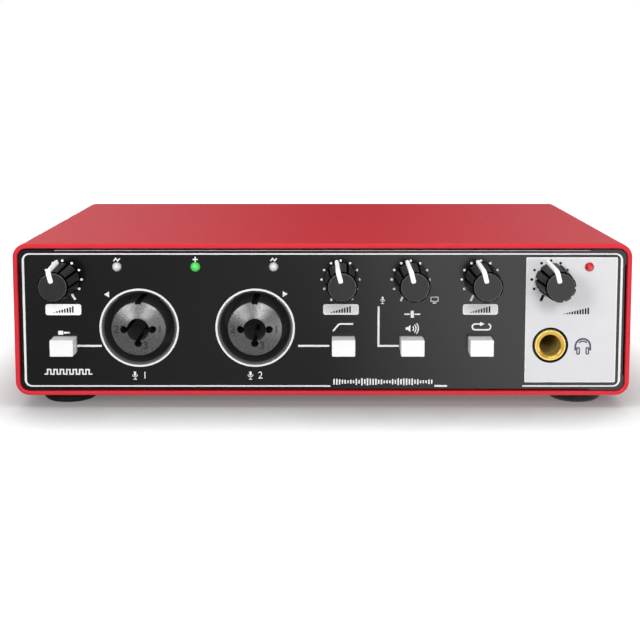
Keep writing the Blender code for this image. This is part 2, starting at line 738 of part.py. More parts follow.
def pointer_mesh():
    """The white pointer: a strip along the knob's face and down its side."""
    outline = [
        (POINTER_START, KNOB_FRONT - POINTER_SINK),
        (KNOB_RADIUS - POINTER_SINK, KNOB_FRONT - POINTER_SINK),
        (KNOB_BASE_RADIUS - POINTER_SINK, KNOB_STANDOFF),
        (KNOB_BASE_RADIUS + POINTER_FOOT_PROUD, KNOB_STANDOFF),
        (KNOB_RADIUS + POINTER_PROUD, KNOB_FRONT - KNOB_BEVEL),
        (KNOB_RADIUS + POINTER_PROUD - KNOB_BEVEL, KNOB_FRONT + POINTER_PROUD),
        (POINTER_START, KNOB_FRONT + POINTER_PROUD),
    ]
    return settle(side_view(outline, POINTER_WIDTH))


def pointer_slot():
    """The slot in the knob that the pointer lies in."""
    sink = POINTER_SINK + INLAY_FIT
    outside = KNOB_BASE_RADIUS + POINTER_FOOT_PROUD + KNOB_WALL
    outline = [
        (POINTER_START - INLAY_FIT, KNOB_FRONT - sink),
        (KNOB_RADIUS - sink, KNOB_FRONT - sink),
        (KNOB_BASE_RADIUS - sink, KNOB_STANDOFF - INLAY_FIT),
        (outside, KNOB_STANDOFF - INLAY_FIT),
        (outside, KNOB_FRONT + KNOB_WALL),
        (POINTER_START - INLAY_FIT, KNOB_FRONT + KNOB_WALL),
    ]
    return side_view(outline, POINTER_WIDTH + 2 * INLAY_FIT)


def knob_mesh():
    """A fluted knob."""
    shape = turned([(0, KNOB_FRONT), (KNOB_RADIUS - KNOB_BEVEL, KNOB_FRONT),
                    (KNOB_RADIUS, KNOB_FRONT - KNOB_BEVEL), (KNOB_BASE_RADIUS, KNOB_STANDOFF),
                    (0, KNOB_STANDOFF)], KNOB_SIDES)
    cut(shape, knob_bore(), knob_grooves(), pointer_slot())
    return settle(shape)


def make_knobs():
    """Five knobs with their pointers, shafts and potentiometers."""
    pot = pot_mesh()
    shaft = shaft_mesh()
    knob = knob_mesh()
    pointer = pointer_mesh()
    for name, u in KNOB_PLACES.items():
        part(f"{name}_pot", pot, POT_GREY, FRONT, (u, KNOB_AXIS, 0))
        axis = frame(f"{name}_axis", (u, KNOB_AXIS, 0), (0, 0, POINTER_ANGLE), FRONT)
        part(f"{name}_shaft", shaft, STEEL, axis)
        part(f"{name}_knob", knob, BLACK_PLASTIC, axis)
        part(f"{name}_pointer", pointer, WHITE_PLASTIC, axis)


# Buttons

def button_mesh(proud, panel_thickness):
    """A button's cap with the stem that works the switch."""
    back = -panel_thickness - BUTTON_TAIL
    shape = block((-BUTTON_WIDTH / 2, -BUTTON_HEIGHT / 2, back),
                  (BUTTON_WIDTH / 2, BUTTON_HEIGHT / 2, proud))
    soften = shape.modifiers.new("Round", 'BEVEL')
    soften.width = BUTTON_ROUND
    soften.segments = 2
    switch_front = back - BUTTON_TRAVEL - BUTTON_STOP
    join(shape, block((-STEM_WIDTH / 2, -STEM_WIDTH / 2, switch_front - STEM_HOLD),
                      (STEM_WIDTH / 2, STEM_WIDTH / 2, back + BUTTON_TAIL / 2)))
    return settle(shape)


def switch_mesh(panel_thickness):
    """A push switch that stands on the main board, with the hole that its button's stem slides in."""
    front = -panel_thickness - BUTTON_TAIL - BUTTON_TRAVEL - BUTTON_STOP
    hole = STEM_WIDTH / 2 + FIT
    shape = block((-SWITCH_WIDTH / 2, SEAT - BUTTON_AXIS, front - SWITCH_DEPTH),
                  (SWITCH_WIDTH / 2, SWITCH_WIDTH / 2, front))
    cut(shape, block((-hole, -hole, front - STEM_HOLD - BUTTON_TRAVEL - BUTTON_STOP),
                     (hole, hole, front + BUTTON_TRAVEL)))
    return settle(shape)


def make_buttons():
    """Four buttons at the front and the phantom power button at the back."""
    front_button = button_mesh(BUTTON_PROUD, PANEL_THICKNESS)
    front_switch = switch_mesh(PANEL_THICKNESS)
    for name, u in BUTTON_PLACES.items():
        part(f"{name}_button", front_button, WHITE_PLASTIC, FRONT, (u, BUTTON_AXIS, 0))
        part(f"{name}_switch", front_switch, BLACK_PLASTIC, FRONT, (u, BUTTON_AXIS, 0))
    place = (PHANTOM_U, BUTTON_AXIS, 0)
    part("phantom_button", button_mesh(PHANTOM_PROUD, REAR_PANEL_THICKNESS), WHITE_PLASTIC, REAR, place)
    part("phantom_switch", switch_mesh(REAR_PANEL_THICKNESS), BLACK_PLASTIC, REAR, place)


# Indicator lamps

def lamp_mesh():
    """A round indicator lamp with its two leads."""
    base = PANEL_BACK - FIT - LAMP_FLANGE_DEPTH
    dome = arc((0, LAMP_PROUD - LAMP_RADIUS), LAMP_RADIUS, 90, 0, DOME_STEPS)
    profile = [(0, dome[0][1])] + dome[1:]
    profile += [(LAMP_RADIUS, base + LAMP_FLANGE_DEPTH), (LAMP_FLANGE_RADIUS, base + LAMP_FLANGE_DEPTH),
                (LAMP_FLANGE_RADIUS, base), (0, base)]
    shape = turned(profile, SMALL_SIDES)
    for side in (-1, 1):
        u = side * LAMP_LEAD_PITCH / 2
        join(shape, block((u - LAMP_LEAD / 2, -LAMP_LEAD / 2, CONTROL_BOARD_FRONT + FIT),
                          (u + LAMP_LEAD / 2, LAMP_LEAD / 2, base + LAMP_FLANGE_DEPTH / 2)))
    return settle(shape)


def make_lamps():
    """Two peak lamps, the phantom power lamp and the power lamp."""
    lenses = {"phantom_lamp": GREEN_LENS, "power_lamp": RED_LENS}
    lamp = lamp_mesh()
    for name, u in LAMP_PLACES.items():
        part(name, lamp.copy(), lenses.get(name, CLEAR_LENS), FRONT, (u, LAMP_AXIS, 0))


# Sockets

def input_body_mesh():
    """An input socket's housing: an arch on the main board, with a deep cup and a tail behind it."""
    bottom = SEAT - INPUT_AXIS
    front = PANEL_BACK - FIT
    back = -INPUT_CUP_DEPTH - INPUT_FLOOR
    tail_back = back - INPUT_TAIL_DEPTH
    half_tail = INPUT_TAIL_WIDTH / 2
    outline = arc((0, 0), INPUT_RADIUS, 0, 180, LARGE_SIDES // 2)
    outline += [(-INPUT_RADIUS, bottom), (INPUT_RADIUS, bottom)]
    shape = extruded([outline], back, front)
    join(shape, rod(INPUT_NOSE_RADIUS, front - INPUT_FLOOR, 0, LARGE_SIDES),
         block((-half_tail, bottom, tail_back), (half_tail, half_tail, back + INPUT_FLOOR / 2)))
    spigot_hole = clear_radius(INSERT_SPIGOT_RADIUS, FIT, MEDIUM_SIDES)
    cut(shape, rod(INPUT_CUP_RADIUS, -INPUT_CUP_DEPTH, INPUT_FLOOR, LARGE_SIDES),
        rod(spigot_hole, -INPUT_CUP_DEPTH - INSERT_SPIGOT_LENGTH - FIT, 0, MEDIUM_SIDES),
        rod(JACK_BORE_RADIUS, tail_back + INPUT_TAIL_WALL, 0, MEDIUM_SIDES),
        block((-LIP_GAP_WIDTH / 2, 0, -LIP_GAP_DEPTH),
              (LIP_GAP_WIDTH / 2, 2 * INPUT_RADIUS, INPUT_FLOOR)))
    return settle(shape)


def input_insert_mesh():
    """The disc in an input socket: a jack hole, three pin holes and a key slot."""
    back = -INPUT_CUP_DEPTH + FIT
    front = INSERT_PROUD
    beyond = front + FIT
    spigot_back = -INPUT_CUP_DEPTH - INSERT_SPIGOT_LENGTH
    shape = rod(INSERT_RADIUS, back, front, LARGE_SIDES)
    join(shape, rod(INSERT_SPIGOT_RADIUS, spigot_back, back + FIT, MEDIUM_SIDES))
    cut(shape, rod(JACK_BORE_RADIUS, 2 * back, beyond, MEDIUM_SIDES))
    for place in ((-PIN_HOLE_OFFSET, 0), (PIN_HOLE_OFFSET, 0), (0, -PIN_HOLE_OFFSET)):
        cut(shape, rod(PIN_HOLE_RADIUS, -PIN_HOLE_DEPTH, beyond, SMALL_SIDES, place))
    cut(shape, block((-KEY_WIDTH / 2, INSERT_RADIUS - KEY_DEPTH, -PIN_HOLE_DEPTH),
                     (KEY_WIDTH / 2, INSERT_RADIUS + KEY_DEPTH, beyond)))
    return settle(shape)


def make_inputs():
    """Two input sockets that take a microphone plug or a jack plug."""
    body = input_body_mesh()
    insert = input_insert_mesh()
    for name, u in (("input_1", INPUT_1_U), ("input_2", INPUT_2_U)):
        part(f"{name}_socket", body, BLACK_PLASTIC, FRONT, (u, INPUT_AXIS, 0))
        part(f"{name}_insert", insert, GREY_PLASTIC, FRONT, (u, INPUT_AXIS, 0))


def jack_block(mouth_w, front):
    """A jack socket's body on the main board, deep enough for a bore that starts at the mouth."""
    back = mouth_w - JACK_BORE_DEPTH - JACK_BACK_WALL
    half = JACK_WIDTH / 2
    return block((-half, SEAT - JACK_AXIS, back), (half, half, front))


def make_phones_socket():
    """The headphone socket and its brass bush, which is countersunk at the mouth."""
    place = (PHONES_JACK_U, JACK_AXIS, 0)
    bush_front = PHONES_BUSH_PROUD
    bush_back = bush_front - PHONES_BUSH_LENGTH
    shape = jack_block(0, PANEL_BACK - FIT)
    cut(shape, rod(PHONES_RECESS_RADIUS, bush_back - FIT, PANEL_THICKNESS, MEDIUM_SIDES),
        rod(JACK_BORE_RADIUS, -JACK_BORE_DEPTH, PANEL_THICKNESS, MEDIUM_SIDES))
    part("phones_socket", settle(shape), BLACK_PLASTIC, FRONT, place)
    profile = [
        (PHONES_BUSH_RADIUS - PHONES_BUSH_LIP, bush_front),
        (PHONES_BUSH_RADIUS, bush_front - PHONES_BUSH_LIP),
        (PHONES_BUSH_RADIUS, bush_back),
        (JACK_BORE_RADIUS, bush_back),
        (JACK_BORE_RADIUS, bush_front - PHONES_BUSH_SINK_DEPTH),
        (PHONES_BUSH_RADIUS - 2 * PHONES_BUSH_LIP, bush_front),
    ]
    part("phones_bush", settle(turned(profile, MEDIUM_SIDES, tube=True)), BRASS, FRONT, place)


def make_line_outputs():
    """Two line output sockets at the back, each held to the rear panel by a nut."""
    front = REAR_PANEL_BACK - FIT
    shape = jack_block(LINE_NOSE_PROUD, front)
    join(shape, rod(LINE_NOSE_RADIUS, front - JACK_BACK_WALL, LINE_NOSE_PROUD, MEDIUM_SIDES))
    cut(shape, rod(JACK_BORE_RADIUS, LINE_NOSE_PROUD - JACK_BORE_DEPTH, 2 * LINE_NOSE_PROUD,
                   MEDIUM_SIDES))
    socket = settle(shape)
    hexagon = circle((0, 0), NUT_ACROSS_FLATS / math.sqrt(3), 6)
    hole = circle((0, 0), clear_radius(LINE_NOSE_RADIUS, FIT, MEDIUM_SIDES), MEDIUM_SIDES)
    nut = settle(extruded([hexagon, hole], FIT, FIT + NUT_THICKNESS))
    for name, u in (("line_output_1", LINE_1_U), ("line_output_2", LINE_2_U)):
        part(f"{name}_socket", socket, BLACK_PLASTIC, REAR, (u, JACK_AXIS, 0))
        part(f"{name}_nut", nut, STEEL, REAR, (u, JACK_AXIS, 0))


def make_usb_socket():
    """The USB socket on the main board, flush with the rear panel."""
    half_width = USB_WIDTH / 2
    half_height = USB_HEIGHT / 2
    pocket_back = -USB_POCKET_DEPTH
    shape = extruded([rounded((0, 0), half_width, half_height, USB_CORNER)], -USB_DEPTH, 0)
    cut(shape, extruded([rounded((0, 0), half_width - USB_SKIN, half_height - USB_SKIN,
                                 USB_CORNER - USB_SKIN)], pocket_back, USB_SKIN))
    join(shape, block((-USB_TONGUE_WIDTH / 2, -USB_TONGUE_THICKNESS / 2, pocket_back - USB_SKIN),
                      (USB_TONGUE_WIDTH / 2, USB_TONGUE_THICKNESS / 2, pocket_back + USB_TONGUE_LENGTH)))
    part("usb_socket", settle(shape), STEEL, REAR, (USB_U, USB_AXIS, 0))


empty_file()
PARTS = collection("audio_interface")
WORKSHOP = collection("workshop")

RED_PAINT = finish("red_paint", (0.75, 0.035, 0.055), 0.4)
BLACK_PAINT = finish("black_paint", (0.016, 0.016, 0.017), 0.45)
BLACK_PLASTIC = finish("black_plastic", (0.02, 0.02, 0.02), 0.5)
WHITE_PLASTIC = finish("white_plastic", (0.85, 0.85, 0.85), 0.4)
GREY_PLASTIC = finish("grey_plastic", (0.22, 0.22, 0.23), 0.5)
POT_GREY = finish("pot_grey", (0.3, 0.3, 0.32), 0.4, 0.8)
RUBBER = finish("rubber", (0.02, 0.02, 0.022), 0.7)
STEEL = finish("steel", (0.6, 0.6, 0.62), 0.3, 1.0)
BRASS = finish("brass", (0.8, 0.5, 0.12), 0.25, 1.0)
BOARD_GREEN = finish("board_green", (0.02, 0.16, 0.06), 0.5)
CLEAR_LENS = finish("clear_lens", (0.85, 0.86, 0.88), 0.2)
GREEN_LENS = finish("green_lens", (0.15, 0.85, 0.15), 0.2)
RED_LENS = finish("red_lens", (0.8, 0.05, 0.05), 0.2)

FRONT = frame("front_frame", (0, FRONT_FACE_Y, CASE_BASE), (math.radians(90), 0, 0))
REAR = frame("rear_frame", (0, REAR_FACE_Y, CASE_BASE), (math.radians(90), 0, math.radians(180)))

make_sleeve()
make_front_panel()
make_rear_panel()
make_feet()
make_main_board()
make_control_board()
make_knobs()
make_buttons()
make_lamps()
make_inputs()
make_phones_socket()
make_line_outputs()
make_usb_socket()

bpy.data.collections.remove(WORKSHOP)
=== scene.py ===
"""Looks of the desktop USB audio interface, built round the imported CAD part.

Shapes are drawn in millimetres in two frames. In the front frame u runs to the right, v up from the
sleeve's underside and w out of the front panel. The rear frame is the same on the rear panel, as a
person behind the object sees it. Round pieces are drawn about their own axis, along w.
"""

import json
import math

import bmesh
import bpy
from mathutils import Matrix, Vector


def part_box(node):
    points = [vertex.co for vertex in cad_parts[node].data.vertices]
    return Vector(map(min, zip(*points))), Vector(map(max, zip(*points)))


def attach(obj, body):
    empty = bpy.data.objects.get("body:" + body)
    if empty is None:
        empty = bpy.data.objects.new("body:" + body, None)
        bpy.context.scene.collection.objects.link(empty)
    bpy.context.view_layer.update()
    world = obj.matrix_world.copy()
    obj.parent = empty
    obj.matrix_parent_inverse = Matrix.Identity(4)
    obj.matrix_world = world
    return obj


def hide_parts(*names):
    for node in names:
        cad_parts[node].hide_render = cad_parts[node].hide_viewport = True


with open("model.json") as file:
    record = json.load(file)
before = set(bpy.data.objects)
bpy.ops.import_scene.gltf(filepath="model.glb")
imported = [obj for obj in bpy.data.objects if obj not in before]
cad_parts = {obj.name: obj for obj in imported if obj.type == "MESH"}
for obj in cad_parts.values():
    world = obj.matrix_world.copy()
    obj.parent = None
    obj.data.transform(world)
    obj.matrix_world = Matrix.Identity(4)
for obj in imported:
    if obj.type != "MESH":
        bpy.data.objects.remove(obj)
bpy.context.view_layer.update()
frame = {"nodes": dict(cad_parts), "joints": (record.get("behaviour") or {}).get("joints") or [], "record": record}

MM = 0.001

# Frames
SLEEVE_LOW, SLEEVE_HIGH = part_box("sleeve")
FACE_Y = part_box("front_panel")[0].y
REAR_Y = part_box("rear_panel")[1].y
BASE_Z = SLEEVE_LOW.z
UPRIGHT = Matrix.Rotation(math.radians(90), 4, 'X')
FRONT = Matrix.Translation((0, FACE_Y, BASE_Z)) @ UPRIGHT
REAR = Matrix.Translation((0, REAR_Y, BASE_Z)) @ Matrix.Rotation(math.radians(180), 4, 'Z') @ UPRIGHT


def local(node, place=FRONT):
    """The middle of a CAD node, in millimetres in a frame."""
    low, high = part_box(node)
    return place.inverted() @ ((low + high) / 2) / MM


def on_face(node, place=FRONT):
    """The (u, v) place of a CAD node on a panel."""
    return tuple(local(node, place))[:2]


# Places of the controls and sockets, from the frame
KNOBS = {joint["child"]: tuple(FRONT.inverted() @ Vector(joint["pos_m"]) / MM)[:2]
         for joint in frame["joints"] if joint["type"] == "hinge"}
LAMPS = {name: on_face(name) for name in ("peak_1_lamp", "phantom_lamp", "peak_2_lamp", "power_lamp")}
BUTTONS = {name: on_face(f"{name}_button") for name in ("hi_z", "low_cut", "monitor", "loopback")}
INPUT_RADIUS = 12.3
INPUT_V = (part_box("input_1_socket")[1].z - BASE_Z) / MM - INPUT_RADIUS
INPUTS = {name: (local(f"{name}_socket").x, INPUT_V) for name in ("input_1", "input_2")}
PHONES_JACK = on_face("phones_bush")
LINE_OUTPUTS = {name: on_face(f"{name}_nut", REAR) for name in ("line_output_1", "line_output_2")}
PHANTOM = on_face("phantom_button", REAR)
USB = on_face("usb_socket", REAR)
FEET = ("front_left", "front_right", "rear_left", "rear_right")

# Case
HALF_WIDTH = SLEEVE_HIGH.x / MM
CASE_HEIGHT = (SLEEVE_HIGH.z - SLEEVE_LOW.z) / MM
CASE_DEPTH = (SLEEVE_HIGH.y - SLEEVE_LOW.y) / MM
MIDDLE = CASE_HEIGHT / 2
OPENING_MIDDLE = MIDDLE - 0.14
CASE_FRONT = 0.4
CASE_BACK = CASE_FRONT - CASE_DEPTH
CORNER_RADIUS = 4.25
MOUTH_EDGE = 0.35
WALL = 1.4
FIT = 0.3
RAIL_LEVELS = (4.6, 8.0)
RAIL_THICKNESS = 1.2
RAIL_WIDTH = 2.0
RAIL_END = 4.0

# Panels
PANEL_GAP = WALL + FIT
PANEL_HALF_WIDTH = HALF_WIDTH - PANEL_GAP
PANEL_HALF_HEIGHT = MIDDLE - PANEL_GAP
PANEL_CORNER = CORNER_RADIUS - PANEL_GAP
PANEL_THICKNESS = 2.0
REAR_THICKNESS = 1.6
NOTCH = 0.2
NOTCH_CHAMFER = 0.2
NOTCH_U = HALF_WIDTH - 12.2
NOTCH_V = MIDDLE - 6.1
FLANGE_BASE = 2.0
FLANGE_MARGIN = 6.0
FLANGE_SCREW_U = HALF_WIDTH - 14.0
FLANGE_SCREW_DEPTH = 13.4
SCREW_HOLE = 1.73
KNOB_HOLE = 4.04
LAMP_HOLE = 1.52
INPUT_HOLE = 11.42
PHONES_HOLE = 4.99
LINE_HOLE = 4.74

# Knobs and their pointers
KNOB_RADIUS = 4.53
KNOB_BASE_RADIUS = 5.23
KNOB_FOOT = 0.8
KNOB_TAPER = 12.2
KNOB_SIDE_END = 12.86
KNOB_FRONT = 13.5
KNOB_BORE = 3.33
KNOB_BORE_FLAT = 1.8
KNOB_BORE_END = 11.5
KNOB_SECTORS = 10
KNOB_STATIONS = (-0.48, -0.42, -0.36, -0.3, -0.1, 0.1, 0.3, 0.36, 0.42, 0.48, 0.75, 1.1, 1.45, 1.8, 2.15)
GROOVE_HALF = 0.36
GROOVE_EDGE = 0.06
GROOVE_DEPTH = 0.5
POINTER_ANGLE = math.radians(14.5)
POINTER_HALF_WIDTHS = (0.34, 0.52, 0.64, 0.7)
POINTER_TAPER = 0.17

# Buttons, lamps and sockets
BUTTON_HALF_WIDTH = 3.5
BUTTON_HALF_HEIGHT = 2.5
BUTTON_CORNER = 0.3
BUTTON_EDGE = 0.2
STEM_HALF = 1.5
LAMP_RADIUS = 1.45
POWER_LAMP_RADIUS = 1.34
LAMP_FRONT = 1.2
INPUT_BOTTOM = -12.8
MOUTH_RADIUS = 10.65
LIP_BACK = -0.75
LIP_FLAT_RADIUS = 11.1
INSERT_RADIUS = 8.2
INSERT_BORE = 3.4
KEY_HALF = 0.95
KEY_LOW = 7.5
PIN_HOLE = 1.12
PIN_HOLES = ((-4.3, 0), (4.3, 0), (0, -4.3))
PIN_NUMBERS = {"1": (6.5, -0.15), "2": (-6.6, -0.2), "3": (2.2, -5.0)}
JACK_BORE = 3.2
JACK_HALF = 7.0
JACK_BOTTOM = -7.45
USB_HALF_WIDTH = 4.5
USB_HALF_HEIGHT = 1.6
USB_CORNER = 1.2
USB_WALL = 0.3

# Printed marks. A border is its half width, low, high and corner, a box its left, low, right and high
INK = 0.03
TOP_INK = 0.05
BORDER_OUTER = (90.63, 2.58, 43.64, 2.2)
BORDER_INNER = (89.95, 3.01, 43.22, 1.6)
BORDER_GAP = (2.45, 60.9)
DIAL_U = {"gain_1": -78.43, "gain_2": 5.47, "mix": 26.62, "output": 47.77, "phones": 68.92}
DIAL_RADIUS = 5.73
TICK_RADII = (5.2, 7.2)
TICK_ANGLES = (-156, 149)
PHONES_LINE = (5.46, 5.02)
INPUT_LINE = (12.04, 11.44)
ZONE = (61.48, 3.94, 89.06, 42.41)
LABELS = ((0.24, 24.85, 10.98, 28.08), (42.5, 24.85, 53.12, 28.08))
GAIN_1_LABEL = (-83.8, 24.73, -73.0, 28.1)
FRAME_LINE = 0.3
LINK_V = 15.24
LINK_WIDTH = 0.6
INPUT_MARK_V = 6.05
INPUT_MARK_OFFSET = 1.5
LAMP_MARK_V = 41.7
PLUS_V = 41.75
BAR_PITCH = 0.8
BAR_WIDTH = 0.5
BAR_HEIGHT = 2.0

# Roundness
CORNER_STEPS = 14
FINE_SIDES = 128
ROUND_SIDES = 64
MEDIUM_SIDES = 48
SMALL_SIDES = 40
SCREW_SIDES = 32
SHARP_ANGLE = math.radians(32)


# Materials

MATERIALS = {}
NOISE_SPREAD = (0.3, 0.7)


def shade(colour):
    """A colour, which may be given as one number for a grey."""
    return colour if isinstance(colour, tuple) else (colour, colour, colour)


class Graph:
    """A node tree being put together."""

    def __init__(self, owner):
        owner.use_nodes = True
        self.nodes = owner.node_tree.nodes
        self.links = owner.node_tree.links

    def link(self, source, target):
        self.links.new(source, target)

    def fill(self, node, **constants):
        """Sets a node's sockets, with _ for each space in their names."""
        for socket, value in constants.items():
            node.inputs[socket.replace("_", " ")].default_value = value

    def add(self, kind, **constants):
        made = self.nodes.new("ShaderNode" + kind)
        self.fill(made, **constants)
        return made

    def math(self, operation, first, second):
        """Two numbers put together, of which the second may be a constant."""
        made = self.add("Math")
        made.operation = operation
        self.link(first, made.inputs[0])
        if isinstance(second, float):
            made.inputs[1].default_value = second
        else:
            self.link(second, made.inputs[1])
        return made.outputs[0]

    def span(self, value, source, target):
        """A number taken from one range to another."""
        made = self.add("MapRange", From_Min=source[0], From_Max=source[1])
        self.fill(made, To_Min=target[0], To_Max=target[1])
        self.link(value, made.inputs["Value"])
        return made.outputs["Result"]

    def ramp(self, factor, *stops):
        """A colour that runs through the stops, each a place and a colour."""
        made = self.add("ValToRGB")
        steps = made.color_ramp.elements
        for _ in stops[2:]:
            steps.new(0.5)
        for step, (place, colour) in zip(steps, stops):
            step.position = place
            step.color = (*shade(colour), 1)
        self.link(factor, made.inputs["Fac"])
        return made.outputs["Color"]

    def axes(self, vector):
        """The parts of a vector, by the names X, Y and Z."""
        made = self.add("SeparateXYZ")
        self.link(vector, made.inputs["Vector"])
        return made.outputs

    def ray(self, kind):
        """1 for rays of a kind and 0 for others."""
        return self.add("LightPath").outputs[f"Is {kind} Ray"]

    def seen_directly(self):
        """1 for camera and transmission rays, 0 for those that light the object."""
        return self.math('MAXIMUM', self.ray("Camera"), self.ray("Transmission"))


class Finish(Graph):
    """A procedural material being put together."""

    def __init__(self, name, **constants):
        MATERIALS[name] = bpy.data.materials.new(name)
        super().__init__(MATERIALS[name])
        self.shader = self.nodes["Principled BSDF"]
        self.place = self.add("TexCoord").outputs["Object"]
        self.fill(self.shader, **constants)

    def stretched(self, stretch):
        """The object's own coordinates, scaled along each axis."""
        made = self.add("Mapping", Scale=stretch)
        self.link(self.place, made.inputs["Vector"])
        return made.outputs["Vector"]

    def noise(self, scale, detail=3.0, stretch=(1, 1, 1)):
        """Noise with a scale in features per metre."""
        made = self.add("TexNoise", Scale=scale, Detail=detail)
        self.link(self.stretched(stretch), made.inputs["Vector"])
        return made.outputs["Fac"]

    def colour(self, factor, *stops):
        self.link(self.ramp(factor, *stops), self.shader.inputs["Base Color"])

    def roughness(self, factor, low, high):
        self.link(self.span(factor, NOISE_SPREAD, (low, high)), self.shader.inputs["Roughness"])

    def bump(self, height, strength, depth):
        """Relief with a depth in millimetres."""
        made = self.add("Bump", Strength=strength, Distance=depth * MM)
        self.link(height, made.inputs["Height"])
        self.link(made.outputs["Normal"], self.shader.inputs["Normal"])


def moulded(name, dark, light, rough, grain=5000, relief=0.01, **constants):
    """Plastic, rubber, ink or paint: colour and gloss drift a little, over a fine grain."""
    made = Finish(name, **constants)
    made.colour(made.noise(250), (NOISE_SPREAD[0], dark), (NOISE_SPREAD[1], light))
    made.roughness(made.noise(grain / 4), *rough)
    made.bump(made.noise(grain, 2.0), 0.5, relief)


def brushed(name, dark, light, rough, stretch, metallic=1.0):
    """Metal with fine lines along one direction."""
    made = Finish(name, Metallic=metallic)
    lines = made.noise(2500, 3.0, stretch)
    made.colour(lines, (NOISE_SPREAD[0], dark), (NOISE_SPREAD[1], light))
    made.roughness(lines, *rough)
    made.bump(lines, 0.3, 0.004)


def speckled(name, dark, light, rough, **constants):
    """Glass-filled plastic with a pale fleck."""
    made = Finish(name, **constants)
    fleck = made.noise(2300, 4.0)
    made.colour(fleck, (0.36, dark), (0.66, light))
    made.roughness(fleck, *rough)
    made.bump(fleck, 1.0, 0.06)


def lens(name, core, rim, **constants):
    """A moulded lamp lens, lighter in the middle than at its rim: painted shade on the dome's edge."""
    made = Finish(name, **constants)
    away = made.add("TexGradient")
    away.gradient_type = 'SPHERICAL'
    made.link(made.stretched((550, 550, 0)), away.inputs["Vector"])
    # Darker towards the rim: painted shade on the round dome.
    made.colour(away.outputs["Fac"], (0.1, rim), (0.6, core))
    made.roughness(made.noise(1500), 0.12, 0.2)


def circuit_board(name):
    """Green solder mask over copper tracks."""
    made = Finish(name)
    tracks = made.add("TexBrick", Scale=90, Mortar_Size=0.03, Color1=(0.012, 0.11, 0.04, 1),
                      Color2=(0.016, 0.14, 0.05, 1), Mortar=(0.05, 0.26, 0.08, 1))
    made.link(made.place, tracks.inputs["Vector"])
    made.link(tracks.outputs["Color"], made.shader.inputs["Base Color"])
    made.roughness(made.noise(900), 0.35, 0.5)
    made.bump(tracks.outputs["Fac"], 0.4, 0.03)


# The record's material slots
moulded("red_paint", (0.72, 0.031, 0.046), (0.76, 0.034, 0.050), (0.40, 0.47), grain=4500, relief=0.012,
        Specular_IOR_Level=0.18)
moulded("front_panel_black", 0.0014, 0.0018, (0.17, 0.21), relief=0.004, Specular_IOR_Level=0.36)
moulded("rear_panel_black", 0.012, 0.016, (0.45, 0.55))
moulded("rubber", (0.010, 0.010, 0.011), (0.016, 0.016, 0.017), (0.65, 0.8), relief=0.03,
        Specular_IOR_Level=0.15)
brushed("screw_steel", (0.42, 0.42, 0.43), (0.58, 0.58, 0.60), (0.3, 0.42), (1, 1, 0.1))
circuit_board("circuit_board")
moulded("socket_plastic", 0.020, 0.027, (0.38, 0.5))
brushed("pot_metal", (0.36, 0.36, 0.38), (0.46, 0.46, 0.48), (0.35, 0.5), (1, 0.1, 1))
brushed("shaft_steel", (0.5, 0.5, 0.52), (0.66, 0.66, 0.68), (0.25, 0.38), (0.1, 0.1, 1))
# The knob's sides are lighter than its face and nearly without gloss: painted sheen for light on the ribs.
moulded("knob_plastic", 0.034, 0.040, (0.30, 0.38), relief=0.004, Specular_IOR_Level=0.02)
# The pointer glows a little, so its side that faces away from the lamps shows white: painted light.
moulded("pointer_white", 0.84, 0.90, (0.35, 0.45), relief=0.004, Emission_Strength=0.25)
# The buttons glow a little, which brightens their less lit top and side faces: painted light.
moulded("button_white", (0.84, 0.84, 0.85), 0.88, (0.3, 0.4), relief=0.003, Emission_Strength=0.14)
lens("clear_lens", (0.80, 0.80, 0.81), (0.40, 0.40, 0.41))
lens("green_lens", (0.10, 0.62, 0.12), (0.04, 0.42, 0.06), Emission_Color=(0.10, 0.95, 0.15, 1),
     Emission_Strength=0.2)
lens("red_lens", (0.70, 0.006, 0.010), (0.26, 0.002, 0.003), Emission_Color=(0.9, 0.0, 0.006, 1),
     Emission_Strength=0.1)
speckled("insert_grey", 0.026, 0.088, (0.26, 0.38), Specular_IOR_Level=0.9, Coat_Weight=0.5,
         Coat_Roughness=0.25)
brushed("brass", (0.45, 0.26, 0.024), (0.58, 0.35, 0.044), (0.28, 0.38), (1, 1, 0.2), 0.4)
brushed("nut_nickel", (0.55, 0.54, 0.52), (0.68, 0.67, 0.64), (0.2, 0.3), (1, 1, 0.1))
brushed("usb_steel", (0.52, 0.52, 0.53), (0.64, 0.64, 0.65), (0.25, 0.35), (0.1, 1, 1))

# Second finishes on a piece, and inks
moulded("knob_face", 0.012, 0.016, (0.42, 0.52), grain=7000, relief=0.012, Specular_IOR_Level=0.33)
# A pale ring round a knob's face: painted highlight.
moulded("knob_edge_highlight", 0.085, 0.105, (0.3, 0.4), relief=0.002)
# Pale grey on the black panel's top chamfer: painted highlight.
moulded("panel_edge_highlight", (0.44, 0.445, 0.445), (0.50, 0.505, 0.505), (0.3, 0.4), relief=0.002)
# Dark ink for the pin numbers, also painted on the walls of the insert's holes and key slot as shade.
moulded("pin_print_and_hole_shade", 0.013, 0.018, (0.45, 0.55), relief=0.002)
# Near black and without gloss on a knob's bevel and grooves: painted shade.
moulded("knob_bevel_and_groove_shade", 0.002, 0.003, (0.3, 0.4), relief=0.002, Specular_IOR_Level=0.0)
# A socket's lip is painted grey for the light its front catches, dimmer on its chamfer: painted highlight.
moulded("lip_painted_highlight", 0.13, 0.15, (0.3, 0.4), relief=0.004)
moulded("lip_chamfer_dim_highlight", 0.105, 0.12, (0.4, 0.5), relief=0.004)
# Inside sockets and on inserts' sides: a slightly darker tone with a faint glow, painted shade and light.
moulded("socket_shade_and_glow", 0.018, 0.024, (0.5, 0.6), relief=0.004, Emission_Strength=0.008)
brushed("brass_bore", (0.46, 0.35, 0.10), (0.60, 0.46, 0.14), (0.4, 0.5), (1, 1, 0.2), 0.3)
